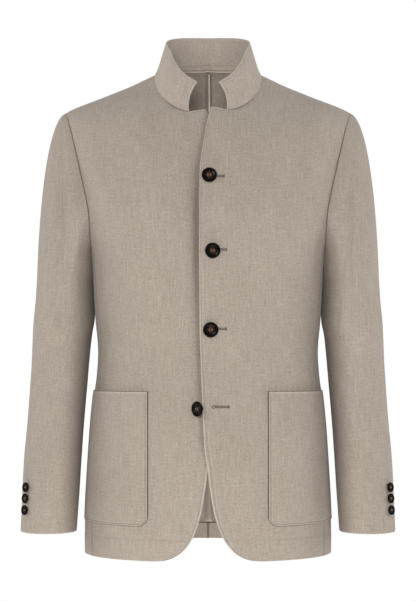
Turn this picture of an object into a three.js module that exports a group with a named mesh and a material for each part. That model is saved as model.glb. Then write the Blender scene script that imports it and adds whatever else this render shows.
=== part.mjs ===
import * as THREE from "three";

// A blazer with a stand collar, filled out as when worn, with nothing inside it.
// Millimetres. X runs to the wearer's left, Y to the back, Z up. The origin is the middle
// of the neck opening, at the height of the side neck points.

// Cloth and seams
const CLOTH = 2;
const COLLAR_CLOTH = 3.2;
const SEAM_GAP = 0.3;
const LONGEST_MITRE = 1.5;

// Body girth at each height: half width, front, middle and back depth.
// Above the underarm the half width runs on past the armhole, which cuts it.
const GIRTH = [
  { z: -736, half: 190.5, front: -133, mid: 0, back: 128 },
  { z: -700, half: 190.5, front: -133.5, mid: 0, back: 127.5 },
  { z: -650, half: 188.5, front: -134, mid: 0, back: 126 },
  { z: -550, half: 182, front: -133, mid: 0, back: 118 },
  { z: -500, half: 177, front: -131, mid: 0, back: 110 },
  { z: -470, half: 172.5, front: -129.5, mid: 0, back: 105 },
  { z: -427, half: 170, front: -128, mid: 0, back: 100 },
  { z: -382, half: 173.8, front: -130, mid: 0, back: 104 },
  { z: -350, half: 176.3, front: -132, mid: 0, back: 108 },
  { z: -290, half: 180, front: -137, mid: 2, back: 120 },
  { z: -260, half: 186.5, front: -138, mid: 4, back: 124 },
  { z: -230, half: 198, front: -138, mid: 6, back: 126 },
  { z: -185, half: 206, front: -138, mid: 8, back: 127 },
  { z: -130, half: 218, front: -138, mid: 11, back: 127 },
  { z: -60, half: 230, front: -138, mid: 13, back: 127 },
  { z: 0, half: 240, front: -138, mid: 15, back: 127 },
];
const GIRTH_ROUNDING = 2.3;
const HEM = -736.5;
const CHEST = -230;

// Height of the shoulder line at each distance from the middle
const SHOULDER = [
  { x: 0, z: 24 },
  { x: 40, z: 18.5 },
  { x: 60, z: 12 },
  { x: 80, z: 2 },
  { x: 100, z: -7.5 },
  { x: 121, z: -17.5 },
  { x: 167, z: -36 },
  { x: 206, z: -51 },
  { x: 222, z: -59 },
  { x: 240, z: -70 },
];
// How boxy the curve from the chest over the shoulder is, near the neck and at the sleeve
const CROWN = { front_neck: 1.5, front_arm: 2, back_neck: 4.7, back_arm: 2.5, arm_x: 200 };

// Armhole: distance from the middle at each height
const ARMHOLE = [
  { z: -290, x: 180 },
  { z: -251, x: 179.5 },
  { z: -215, x: 180.5 },
  { z: -185, x: 185 },
  { z: -148, x: 192 },
  { z: -111, x: 202 },
  { z: -74, x: 214 },
  { z: -59, x: 222 },
];
const ARMHOLE_STEPS = 28;
const FRONT_SEAM_STEP = 11;
const BACK_SEAM_STEP = 17;

// Neckline
const NECK_SIDE = 80;
const NECK_FRONT = { x: 28, drop: 65 };
const NECK_BACK = { fall: 59.5, fullness: 1.6 };
const NECK_FRONT_STEPS = 6;
const NECK_BACK_STEPS = 5;
const SHOULDER_STEPS = 8;

// Rounded lower corner of the left front: from the hem to the front edge, with the two points
// that pull the curve
const ROUND_CORNER = [
  { x: 84, z: HEM },
  { x: 30, z: HEM - 1.5 },
  { x: 10, z: -700 },
  { x: 0, z: -608 },
];
const ROUND_CORNER_ROWS = 7;
const LEAST_ROW_SHARE = 0.003;
// Front edge of the left front, from there to the upper corner
const FRONT_EDGE = [
  { z: -608, x: 0 },
  { z: -571, x: -5.2 },
  { z: -497, x: -8.9 },
  { z: -379, x: -12.5 },
  { z: -164, x: -12.5 },
  { z: -141, x: -11 },
  { z: -111, x: -6.7 },
  { z: -76, x: -0.6 },
  { z: -58, x: 4.7 },
];
// Line about which the right front's edge mirrors the left front's
const FRONT_MIDDLE = [
  { z: -736, x: 0 },
  { z: -608, x: -0.5 },
  { z: -410, x: 3 },
  { z: -164, x: 3 },
  { z: -58, x: 0.5 },
];
const FRONT_CORNER = { left: -58, right: -60 };
const FRONT_STAND_STEPS = 3;
// The left front lies over the right one: each steps this far off the common form
const LAP = { step: 1.35, full: 24, none: 62 };

// Rows of the body from the round corner up to the armhole
const PLAIN_ROWS = 8;

// Seams of the underarm panel, as angles round the body from the centre front
const SIDE_SEAM = { front: 69, back: 112 };

// Sleeve below the armhole: middle and half sizes at each height
const SLEEVE = [
  { z: -290, mid_x: 222, half_x: 41.2, mid_y: 3, half_y: 76 },
  { z: -315, mid_x: 222.4, half_x: 42.2, mid_y: 2, half_y: 74 },
  { z: -350, mid_x: 222.8, half_x: 43.9, mid_y: 0, half_y: 70 },
  { z: -385, mid_x: 224, half_x: 46, mid_y: -2, half_y: 67 },
  { z: -410, mid_x: 226, half_x: 45.2, mid_y: -3, half_y: 65 },
  { z: -440, mid_x: 227.2, half_x: 44, mid_y: -5, half_y: 62.5 },
  { z: -475, mid_x: 228.2, half_x: 43.6, mid_y: -9, half_y: 60 },
  { z: -537, mid_x: 232.5, half_x: 43.9, mid_y: -18, half_y: 56 },
  { z: -587, mid_x: 236.5, half_x: 44.4, mid_y: -27, half_y: 52.5 },
  { z: -636, mid_x: 240, half_x: 43.7, mid_y: -36, half_y: 49 },
  { z: -701, mid_x: 243, half_x: 42.7, mid_y: -45, half_y: 46 },
];
// How the lengthwise lines of the sleeve cap leave the armhole: outwards, forwards and down,
// with what is added at the top, at the front and back, and how they arrive at the arm
const CAP_LEAVE = { out: 14, out_top: 8, forward: 8, down: 7.5, down_top: 1.5, down_sides: 5 };
const CAP_ARRIVE = { inward: 2.5, up: 80, up_top: 75 };
const SLEEVE_CAP_END = -315;
const CUFF = -701;
const SLEEVE_CAP_ROWS = 7;
const SLEEVE_ROWS = 10;
const FRONT_ARM_SEAM_STEP = 9;
const HIND_ARM_SEAM_STEP = 22;
// How far the sleeve seams turn round the arm from the armhole to the cuff, in degrees
const TURN = { hind: 103, front: 72 };

// Stand collar: its upper edge, from the front end to the centre back
const COLLAR_TOP = [
  { x: 16.5, y: -62, z: -18 },
  { x: 37, y: -52, z: -3 },
  { x: 50, y: -35, z: 16 },
  { x: 57.5, y: -20, z: 34 },
  { x: 65, y: 15, z: 53 },
  { x: 50, y: 50, z: 63 },
  { x: 27, y: 69, z: 66.5 },
  { x: 0, y: 75, z: 67 },
];
const COLLAR_ROWS = 4;
const COLLAR_END_BOW = { size: 5, reach: 2.2 };

// Patch pockets, on the front and round the side
const POCKET = {
  inner_x: 89,
  outer_angle: 92,
  mouth: -485,
  mouth_fall: 4,
  bottom: -686,
  corner: 15,
  wide: 168,
  lift: 2,
  fullness: 0.4,
  corner_columns: 2,
  middle_columns: 9,
  rows: 8,
};

// Section of a button from its underside over the rim to the dished face, as shares of its
// radius and its thickness
const BUTTON_SECTION = [
  { out: 0.7, up: 0 },
  { out: 0.95, up: 0.35 },
  { out: 1, up: 0.62 },
  { out: 0.93, up: 1 },
  { out: 0.8, up: 1 },
];
const BUTTON_FACE_SHARE = 0.6;

// Buttons: where each lies, seen from the front, and its size
const FRONT_BUTTON = { radius: 11.5, thick: 4.2, dish: 1.1, sides: 24 };
const CUFF_BUTTON = { radius: 7.5, thick: 3.2, dish: 0.7, sides: 16 };
const FASTENED_BUTTONS = [
  { x: 2.1, z: -165 },
  { x: 6.8, z: -276 },
  { x: 4, z: -393 },
];
// The lowest button is undone: it stands turned on its thread beside the left front's edge
const LOOSE_BUTTON = { x: -16, z: -510, turn: 42 };
const THREAD_RADIUS = 1.2;
const CUFF_BUTTON_ANGLE = 39;
const CUFF_BUTTON_HEIGHTS = [-633, -649.5, -667];

// Large soft folds of the body: place on the front view, half length, half width, depth, lean
const BODY_FOLDS = [
  { side: -1, x: -21, z: -220, run: 90, across: 9, depth: -2.2, lean: 1 },
  { side: -1, x: -21, z: -380, run: 90, across: 9, depth: -1.2, lean: 0 },
  { side: 1, x: 42, z: -120, run: 70, across: 20, depth: 2.6, lean: 22 },
  { side: -1, x: -98, z: -190, run: 120, across: 22, depth: 2.2, lean: -3 },
  { side: 1, x: 104, z: -200, run: 110, across: 24, depth: 1.8, lean: 4 },
  { side: -1, x: -128, z: -150, run: 70, across: 20, depth: -2.6, lean: 8 },
  { side: 1, x: 130, z: -150, run: 70, across: 20, depth: -2.6, lean: -8 },
  { side: -1, x: -150, z: -360, run: 60, across: 16, depth: -2, lean: -12 },
  { side: 1, x: 150, z: -365, run: 60, across: 16, depth: -2, lean: 12 },
];
// The folds fade out this far down from the shoulder line
const FOLD_FADE = 40;
// Large soft folds of the back
const BACK_FOLDS = [
  { side: -1, x: -118, z: -190, run: 120, across: 20, depth: -3, lean: 6 },
  { side: 1, x: 120, z: -185, run: 120, across: 20, depth: -3, lean: -6 },
  { side: -1, x: -60, z: -400, run: 120, across: 30, depth: 2, lean: -4 },
  { side: 1, x: 64, z: -410, run: 120, across: 30, depth: 2, lean: 4 },
];
// Large soft folds of each sleeve: angle round the arm, height, half length, half width, depth, slant
const SLEEVE_FOLDS = [
  { side: -1, angle: 62, z: -230, run: 75, across: 13, depth: -2.6, slant: 0.05 },
  { side: 1, angle: 66, z: -240, run: 70, across: 13, depth: -2.2, slant: -0.05 },
  { side: -1, angle: 105, z: -415, run: 14, across: 34, depth: -2.4, slant: 0.3 },
  { side: 1, angle: 105, z: -425, run: 14, across: 34, depth: -2.4, slant: 0.3 },
  { side: -1, angle: 250, z: -330, run: 70, across: 16, depth: -2.6, slant: 0.1 },
  { side: 1, angle: 250, z: -330, run: 70, across: 16, depth: -2.6, slant: 0.1 },
];

const LINEN = "#a99c90";
const LINEN_COLLAR = "#b2a89c";
const BUTTON_BROWN = "#2c211b";

// Steps between the points from which the direction of a surface is found
const NEAR = { angle: 0.001, height: 0.5 };

const radians = THREE.MathUtils.degToRad;
const mix = THREE.MathUtils.lerp;
const signedPower = (value, power) => Math.sign(value) * Math.abs(value) ** power;

// Value of one column of a table at a place along another, by a curve through the rows
function read(table, along, place, column) {
  const rising = table[0][along] < table[table.length - 1][along];
  const rows = rising ? table : [...table].reverse();
  const last = rows.length - 1;
  if (place <= rows[0][along]) return rows[0][column];
  if (place >= rows[last][along]) return rows[last][column];
  const i = rows.findIndex((row) => row[along] > place) - 1;
  const slope = (k) => {
    const a = rows[Math.max(k - 1, 0)];
    const b = rows[Math.min(k + 1, last)];
    return (b[column] - a[column]) / (b[along] - a[along]);
  };
  const span = rows[i + 1][along] - rows[i][along];
  const t = (place - rows[i][along]) / span;
  const keep = 2 * t ** 3 - 3 * t ** 2 + 1;
  const leave = (t ** 3 - 2 * t ** 2 + t) * span;
  const arrive = (t ** 3 - t ** 2) * span;
  return keep * rows[i][column] + (1 - keep) * rows[i + 1][column]
    + leave * slope(i) + arrive * slope(i + 1);
}

const shoulderHeight = (x) => read(SHOULDER, "x", Math.abs(x), "z");

function crown(x, back) {
  const share = Math.min(Math.abs(x) / CROWN.arm_x, 1);
  return back ? mix(CROWN.back_neck, CROWN.back_arm, share) : mix(CROWN.front_neck, CROWN.front_arm, share);
}

// A soft fold: full depth at its middle, fading along and across it
function foldDepth(fold, across, along) {
  const turn = radians(fold.lean ?? 0);
  const u = across * Math.cos(turn) + along * Math.sin(turn);
  const v = along * Math.cos(turn) - across * Math.sin(turn);
  return fold.depth * Math.exp(-((u / fold.across) ** 2) - (v / fold.run) ** 2);
}

// Point of the body's form. The angle runs round it from the centre front, negative on the
// wearer's right. The level is the height up to the chest, and from there a share of the way
// over the shoulder, with 0 on the shoulder line.
function bodyForm(angle, level) {
  const half = read(GIRTH, "z", level, "half");
  const mid = read(GIRTH, "z", level, "mid");
  const fore = Math.cos(angle);
  const back = fore < 0;
  const reach = back ? read(GIRTH, "z", level, "back") - mid : mid - read(GIRTH, "z", level, "front");
  const x = half * signedPower(Math.sin(angle), 2 / GIRTH_ROUNDING);
  let depth = reach * Math.abs(fore) ** (2 / GIRTH_ROUNDING);
  let z = level;
  if (level > CHEST) {
    const over = (1 - level / CHEST) * Math.PI / 2;
    const power = 2 / crown(x, back);
    depth *= Math.abs(Math.cos(over)) ** power;
    z = CHEST + (shoulderHeight(x) - CHEST) * Math.sin(over) ** power;
  }
  return new THREE.Vector3(x, back ? mid + depth : mid - depth, z);
}

// Angle and level of the form's point that is seen at x, z from the front or the back
function bodyPlace(x, z, back = false) {
  let level = z;
  if (z > CHEST) {
    const share = Math.min((z - CHEST) / (shoulderHeight(x) - CHEST), 1);
    const over = Math.asin(share ** (crown(x, back) / 2));
    level = CHEST * (1 - over / (Math.PI / 2));
  }
  return bodyAngle(x, level, back);
}

function bodyAngle(x, level, back = false) {
  const share = THREE.MathUtils.clamp(x / read(GIRTH, "z", level, "half"), -1, 1);
  const front = Math.asin(signedPower(share, GIRTH_ROUNDING / 2));
  const angle = back ? Math.sign(x || 1) * Math.PI - front : front;
  return { angle, level };
}

function bodyNormal(angle, level) {
  const lower = Math.min(level, -2 * NEAR.height);
  const round = bodyForm(angle + NEAR.angle, lower).sub(bodyForm(angle - NEAR.angle, lower));
  const up = bodyForm(angle, lower + NEAR.height).sub(bodyForm(angle, lower - NEAR.height));
  return round.cross(up).normalize();
}

// Point on the cloth of the body, with its folds, moved out by a distance
function bodySkin({ angle, level }, out = 0) {
  const point = bodyForm(angle, level);
  const folds = Math.cos(angle) > 0 ? BODY_FOLDS : BACK_FOLDS;
  const relief = folds
    .filter((fold) => fold.side * point.x > 0 || Math.abs(fold.x) < LAP.full)
    .reduce((sum, fold) => sum + foldDepth(fold, point.x - fold.x, point.z - fold.z), 0);
  const fade = THREE.MathUtils.smoothstep(-level, 0, FOLD_FADE);
  return point.addScaledVector(bodyNormal(angle, level), out + relief * fade);
}

// Armhole: angle and level of each step round it, from the shoulder over the front to the back
function armholePlace(side, step) {
  const turn = (step / ARMHOLE_STEPS) * 2 * Math.PI;
  const top = ARMHOLE[ARMHOLE.length - 1];
  const low = ARMHOLE[0];
  if (step % ARMHOLE_STEPS === 0) return bodyAngle(side * top.x, 0, step > 0);
  const z = mix(low.z, top.z, (1 + Math.cos(turn)) / 2);
  const x = side * read(ARMHOLE, "z", z, "x");
  return bodyPlace(x, z, turn > Math.PI + 1e-9);
}

const armholePoint = (side, step) => bodySkin(armholePlace(side, step % ARMHOLE_STEPS));

// Neckline of a front: from the collar's end up to the side neck point, as share 0 to 1
function frontNeckPlace(side, share) {
  if (share === 1) return bodyAngle(side * NECK_SIDE, 0);
  const turn = (1 - share) * Math.PI / 2;
  const x = NECK_FRONT.x + (NECK_SIDE - NECK_FRONT.x) * Math.cos(turn);
  return bodyPlace(side * x, shoulderHeight(NECK_SIDE) - NECK_FRONT.drop * Math.sin(turn));
}

// Neckline of the back: from the centre back out to the side neck point, as share 0 to 1
function backNeckPlace(side, share) {
  const turn = (1 - share) * Math.PI / 2;
  const level = -NECK_BACK.fall * Math.sin(turn) ** NECK_BACK.fullness;
  return bodyAngle(side * Math.max(NECK_SIDE * Math.cos(turn), 1e-9), level, true);
}

// Pieces of cloth as grids of points, sewn where they share a border

const spot = (point) => point.toArray().map((value) => Math.round(value * 1e3)).join();

function cloth(name, rows, columns, place, { thick = CLOTH, flip = false, keep = () => true } = {}) {
  const points = [];
  const index = new Map();
  const at = (i, j) => {
    const label = i * (columns + 1) + j;
    if (!index.has(label)) {
      index.set(label, points.length);
      points.push(place(i, j));
    }
    return index.get(label);
  };
  const faces = [];
  for (let i = 0; i < rows; i++) {
    for (let j = 0; j < columns; j++) {
      if (!keep(i, j)) continue;
      const [a, b, c, d] = [at(i, j), at(i, j + 1), at(i + 1, j + 1), at(i + 1, j)];
      faces.push(flip ? [a, d, c, b] : [a, b, c, d]);
    }
  }
  return { name, points, faces, thick };
}

function faceNormal(piece, face) {
  const [a, b, c, d] = face.map((k) => piece.points[k]);
  return c.clone().sub(a).cross(d.clone().sub(b));
}

// Direction out of the cloth at each point, and how much longer than square to the cloth the
// cut through it is there. Both are the same for all the pieces that meet at a seam.
function clothMitres(pieces) {
  const mitres = new Map();
  const eachCorner = (work) => {
    for (const piece of pieces) {
      for (const face of piece.faces) {
        const normal = faceNormal(piece, face);
        for (const k of face) work(spot(piece.points[k]), normal);
      }
    }
  };
  eachCorner((label, normal) => {
    if (!mitres.has(label)) mitres.set(label, { direction: new THREE.Vector3(), area: 0 });
    const mitre = mitres.get(label);
    mitre.direction.add(normal);
    mitre.area += normal.length();
  });
  for (const mitre of mitres.values()) {
    const flatness = Math.max(mitre.direction.length() / mitre.area, 1 / LONGEST_MITRE);
    mitre.length = 1 / flatness;
    mitre.direction.normalize();
  }
  return mitres;
}

// Edges of a piece that only one of its faces has
function borderEdges(piece) {
  const edges = new Map();
  for (const face of piece.faces) {
    face.forEach((from, n) => {
      const to = face[(n + 1) % face.length];
      const twin = `${to},${from}`;
      if (edges.has(twin)) edges.delete(twin);
      else edges.set(`${from},${to}`, [from, to]);
    });
  }
  return [...edges.values()];
}

// Closed wall of a piece: mitred at its seams, with half the seam gap taken off each border
function wall(piece, mitres) {
  const border = borderEdges(piece);
  const moves = new Map();
  for (const [from, to] of border) {
    const along = piece.points[to].clone().sub(piece.points[from]);
    for (const k of [from, to]) {
      const inward = mitres.get(spot(piece.points[k])).direction.clone().cross(along).normalize();
      if (!moves.has(k)) moves.set(k, []);
      moves.get(k).push(inward);
    }
  }
  const outer = [];
  const inner = [];
  piece.points.forEach((point, k) => {
    const { direction, length } = mitres.get(spot(point));
    const start = point.clone();
    const pair = moves.get(k);
    if (pair) {
      const [first, second = pair[0]] = pair;
      const share = SEAM_GAP / 2 / Math.max(1 + first.dot(second), 0.5);
      start.addScaledVector(first.clone().add(second), share);
    }
    outer.push(start);
    inner.push(start.clone().addScaledVector(direction, -piece.thick * length));
  });
  const count = outer.length;
  const triangles = [];
  const quad = (a, b, c, d) => triangles.push(a, b, c, a, c, d);
  for (const [a, b, c, d] of piece.faces) {
    quad(a, b, c, d);
    quad(a + count, d + count, c + count, b + count);
  }
  // Both walls at a seam split its cut faces the same way
  for (const [from, to] of border) {
    if (spot(piece.points[from]) < spot(piece.points[to])) quad(to, from, from + count, to + count);
    else quad(from, from + count, to + count, to);
  }
  return solid(piece.name, [...outer, ...inner], triangles);
}

function solid(name, points, triangles, colour = LINEN) {
  const geometry = new THREE.BufferGeometry().setFromPoints(points);
  geometry.setIndex(triangles);
  geometry.computeVertexNormals();
  const material = new THREE.MeshStandardMaterial({ color: colour, roughness: 0.95, metalness: 0 });
  const mesh = new THREE.Mesh(geometry, material);
  mesh.name = name;
  return mesh;
}

// Body panels

const word = (side) => (side > 0 ? "left" : "right");
const blend = (a, b, t) => ({ angle: mix(a.angle, b.angle, t), level: mix(a.level, b.level, t) });

const LOW_ROWS = ROUND_CORNER_ROWS + PLAIN_ROWS;
const HIGH_ROWS = FRONT_SEAM_STEP;
const ALL_ROWS = LOW_ROWS + HIGH_ROWS;
const CORNER_ROW = ALL_ROWS - NECK_FRONT_STEPS;
const FRONT_COLUMNS = FRONT_STAND_STEPS + SHOULDER_STEPS;
const BACK_COLUMNS = NECK_BACK_STEPS + SHOULDER_STEPS;

const roundCorner = new THREE.CubicBezierCurve(
  ...ROUND_CORNER.map(({ x, z }) => new THREE.Vector2(x, z)),
);
const cornerPoint = (row) => roundCorner.getPoint(Math.min(row / ROUND_CORNER_ROWS, 1));

// Share of the height from the hem to the top of the side seam
function lowShare(row) {
  const top = armholePlace(1, FRONT_SEAM_STEP).level;
  const cornerShare = Math.max((cornerPoint(row).y - HEM) / (top - HEM), row * LEAST_ROW_SHARE);
  if (row <= ROUND_CORNER_ROWS) return cornerShare;
  return mix(cornerShare, 1, (row - ROUND_CORNER_ROWS) / PLAIN_ROWS);
}

// Side seams: from the hem up to a step of the armhole
function seamPlace(side, step, row) {
  const hemAngle = radians(step === FRONT_SEAM_STEP ? SIDE_SEAM.front : SIDE_SEAM.back);
  const hem = { angle: side * hemAngle, level: HEM };
  return blend(hem, armholePlace(side, step), lowShare(row));
}

const frontSideX = (side, x, z) => (side > 0 ? x : 2 * read(FRONT_MIDDLE, "z", z, "x") - x);

// Front edge: up from the hem to the corner under the collar
function frontEdgePlace(side, row) {
  const top = FRONT_CORNER[word(side)];
  const low = mix(HEM, armholePlace(side, FRONT_SEAM_STEP).level, lowShare(Math.min(row, LOW_ROWS)));
  const z = row <= LOW_ROWS ? low : mix(low, top, (row - LOW_ROWS) / (CORNER_ROW - LOW_ROWS));
  const x = row < ROUND_CORNER_ROWS ? cornerPoint(row).x : read(FRONT_EDGE, "z", z, "x");
  return bodyPlace(frontSideX(side, x, z), z);
}

function frontOuterPlace(side, row) {
  if (row <= LOW_ROWS) return seamPlace(side, FRONT_SEAM_STEP, row);
  return armholePlace(side, FRONT_SEAM_STEP - (row - LOW_ROWS));
}

// Line that runs down from the collar's end and parts the button stand from the rest
function frontKneePlace(side, row) {
  if (row >= CORNER_ROW) return frontNeckPlace(side, (row - CORNER_ROW) / NECK_FRONT_STEPS);
  const edge = frontEdgePlace(side, row);
  const outer = frontOuterPlace(side, row);
  const hemShare = FRONT_STAND_STEPS / FRONT_COLUMNS;
  const top = frontNeckPlace(side, 0);
  const topEdge = frontEdgePlace(side, CORNER_ROW);
  const topOuter = frontOuterPlace(side, CORNER_ROW);
  const topShare = (top.angle - topEdge.angle) / (topOuter.angle - topEdge.angle);
  const rise = row / CORNER_ROW;
  const place = blend(edge, outer, mix(hemShare, topShare, rise));
  const slip = top.level - blend(topEdge, topOuter, topShare).level;
  return { angle: place.angle, level: place.level + slip * rise ** 4 };
}

function frontPlace(side, row, column) {
  const knee = frontKneePlace(side, row);
  if (column >= FRONT_STAND_STEPS) {
    const outer = frontOuterPlace(side, row);
    if (row < ALL_ROWS) return blend(knee, outer, (column - FRONT_STAND_STEPS) / SHOULDER_STEPS);
    return shoulderPlace(side, (column - FRONT_STAND_STEPS) / SHOULDER_STEPS);
  }
  return blend(frontEdgePlace(side, row), knee, column / FRONT_STAND_STEPS);
}

// Shoulder seam from the neck to the armhole
function shoulderPlace(side, share, back = false) {
  const top = ARMHOLE[ARMHOLE.length - 1];
  return bodyAngle(side * mix(NECK_SIDE, top.x, share), 0, back);
}

function lapStep(side, place) {
  const x = side * bodyForm(place.angle, place.level).x;
  return side * LAP.step * (1 - THREE.MathUtils.smoothstep(x, LAP.full, LAP.none));
}

function front(side) {
  const place = (row, column) => {
    const spotOnBody = frontPlace(side, row, column);
    return bodySkin(spotOnBody, lapStep(side, spotOnBody));
  };
  const keep = (row, column) => row < CORNER_ROW || column >= FRONT_STAND_STEPS;
  return cloth(`front_${word(side)}`, ALL_ROWS, FRONT_COLUMNS, place, { flip: side < 0, keep });
}

function sidePanel(side) {
  const columns = BACK_SEAM_STEP - FRONT_SEAM_STEP;
  const place = (row, column) => {
    const share = column / columns;
    const hem = { angle: side * radians(mix(SIDE_SEAM.front, SIDE_SEAM.back, share)), level: HEM };
    return bodySkin(blend(hem, armholePlace(side, FRONT_SEAM_STEP + column), lowShare(row)));
  };
  return cloth(`side_${word(side)}`, LOW_ROWS, columns, place, { flip: side < 0 });
}

function backPlace(side, row, column) {
  const neck = backNeckPlace(side, 0);
  const sideNeck = backNeckPlace(side, 1);
  const outer = row <= LOW_ROWS ? seamPlace(side, BACK_SEAM_STEP, row)
    : armholePlace(side, BACK_SEAM_STEP + row - LOW_ROWS);
  const rise = Math.max(row - LOW_ROWS, 0) / HIGH_ROWS;
  const seamTop = armholePlace(side, BACK_SEAM_STEP).level;
  const low = mix(HEM, seamTop, lowShare(Math.min(row, LOW_ROWS)));
  const middle = { angle: side * Math.PI, level: mix(low, neck.level, rise) };
  const hemShare = NECK_BACK_STEPS / BACK_COLUMNS;
  const plain = blend(middle, outer, hemShare);
  const full = { angle: sideNeck.angle, level: mix(low, 0, rise) };
  const knee = blend(plain, full, rise);
  if (column >= NECK_BACK_STEPS) {
    const share = (column - NECK_BACK_STEPS) / SHOULDER_STEPS;
    if (row === ALL_ROWS) return shoulderPlace(side, share, true);
    return blend(knee, outer, share);
  }
  const share = column / NECK_BACK_STEPS;
  const straight = blend(middle, knee, share);
  const onNeck = backNeckPlace(side, share);
  const straightTop = blend(neck, sideNeck, share);
  const bend = rise ** 2;
  return {
    angle: straight.angle + (onNeck.angle - straightTop.angle) * bend,
    level: straight.level + (onNeck.level - straightTop.level) * bend,
  };
}

function back(side) {
  const place = (row, column) => bodySkin(backPlace(side, row, column));
  return cloth(`back_${word(side)}`, ALL_ROWS, BACK_COLUMNS, place, { flip: side > 0 });
}

// Sleeves

function armPoint(side, angle, z) {
  const size = (column) => read(SLEEVE, "z", z, column);
  const relief = SLEEVE_FOLDS.filter((fold) => fold.side === side).reduce((sum, fold) => {
    const round = Math.atan2(Math.sin(angle - radians(fold.angle)), Math.cos(angle - radians(fold.angle)));
    const across = round * size("half_y");
    return sum + foldDepth(fold, across, z - fold.z - fold.slant * across);
  }, 0);
  const x = size("mid_x") + (size("half_x") + relief) * Math.cos(angle);
  const y = size("mid_y") - (size("half_y") + relief) * Math.sin(angle);
  return new THREE.Vector3(side * x, y, z);
}

// How far a lengthwise line of the sleeve has turned round the arm
function armTurn(step, share) {
  const angle = (step / ARMHOLE_STEPS) * 2 * Math.PI;
  const hind = (HIND_ARM_SEAM_STEP / ARMHOLE_STEPS) * 2 * Math.PI;
  const lead = (1 + Math.cos(angle - hind)) / 2;
  return radians(mix(TURN.front, TURN.hind, lead)) * THREE.MathUtils.smoothstep(share, 0, 1);
}

function sleevePoint(side, step, row) {
  const start = (step / ARMHOLE_STEPS) * 2 * Math.PI;
  const drop = SLEEVE_CAP_END - CUFF;
  if (row >= SLEEVE_CAP_ROWS) {
    const share = (row - SLEEVE_CAP_ROWS) / SLEEVE_ROWS;
    return armPoint(side, start + armTurn(step, share), SLEEVE_CAP_END - drop * share);
  }
  const seam = armholePoint(side, step);
  if (row === 0) return seam;
  const end = armPoint(side, start, SLEEVE_CAP_END);
  const top = Math.cos(start);
  const fore = Math.sin(start);
  const leave = new THREE.Vector3(
    side * (CAP_LEAVE.out + CAP_LEAVE.out_top * top),
    -CAP_LEAVE.forward * fore,
    -CAP_LEAVE.down - CAP_LEAVE.down_top * top - CAP_LEAVE.down_sides * fore ** 2,
  );
  const arrive = new THREE.Vector3(
    -side * CAP_ARRIVE.inward * (1 + top),
    0,
    CAP_ARRIVE.up + CAP_ARRIVE.up_top * top,
  );
  const line = new THREE.CubicBezierCurve3(seam, seam.clone().add(leave), end.clone().add(arrive), end);
  return line.getPoint(row / SLEEVE_CAP_ROWS);
}

function sleeveHalf(side, part, from, to) {
  const rows = SLEEVE_CAP_ROWS + SLEEVE_ROWS;
  const place = (row, column) => sleevePoint(side, from + column, row);
  const name = `sleeve_${part}_${word(side)}`;
  return cloth(name, rows, to - from, place, { flip: side < 0 });
}

// Collar

function collarPoint(side, column, row) {
  const all = NECK_FRONT_STEPS + NECK_BACK_STEPS;
  const onFront = column <= NECK_FRONT_STEPS;
  const place = onFront
    ? frontNeckPlace(side, column / NECK_FRONT_STEPS)
    : backNeckPlace(side, 1 - (column - NECK_FRONT_STEPS) / NECK_BACK_STEPS);
  const foot = bodySkin(place, onFront ? lapStep(side, place) : 0);
  const points = COLLAR_TOP.map(({ x, y, z }) => new THREE.Vector3(side * x, y, z));
  const edge = new THREE.CatmullRomCurve3(points, false, "centripetal");
  const top = edge.getPointAt(column / all);
  const rise = row / COLLAR_ROWS;
  const bow = COLLAR_END_BOW.size * 4 * rise * (1 - rise) * Math.exp(-column / COLLAR_END_BOW.reach);
  const point = foot.lerp(top, rise);
  point.x = column === all ? 0 : point.x + side * bow;
  return point;
}

function collar() {
  const half = NECK_FRONT_STEPS + NECK_BACK_STEPS;
  const place = (row, column) => {
    const side = column <= half ? -1 : 1;
    return collarPoint(side, column <= half ? column : 2 * half - column, row);
  };
  return cloth("collar", COLLAR_ROWS, 2 * half, place, { thick: COLLAR_CLOTH, flip: true });
}

// Pockets: patches that follow the body's cloth, with rounded lower corners and an open mouth

function pocketPlace(side, across, up) {
  const mouth = POCKET.mouth - POCKET.mouth_fall * across;
  const level = mix(POCKET.bottom, mouth, up);
  const inner = bodyPlace(side * POCKET.inner_x, level);
  const outer = { angle: side * radians(POCKET.outer_angle), level };
  return blend(inner, outer, across);
}

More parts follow.
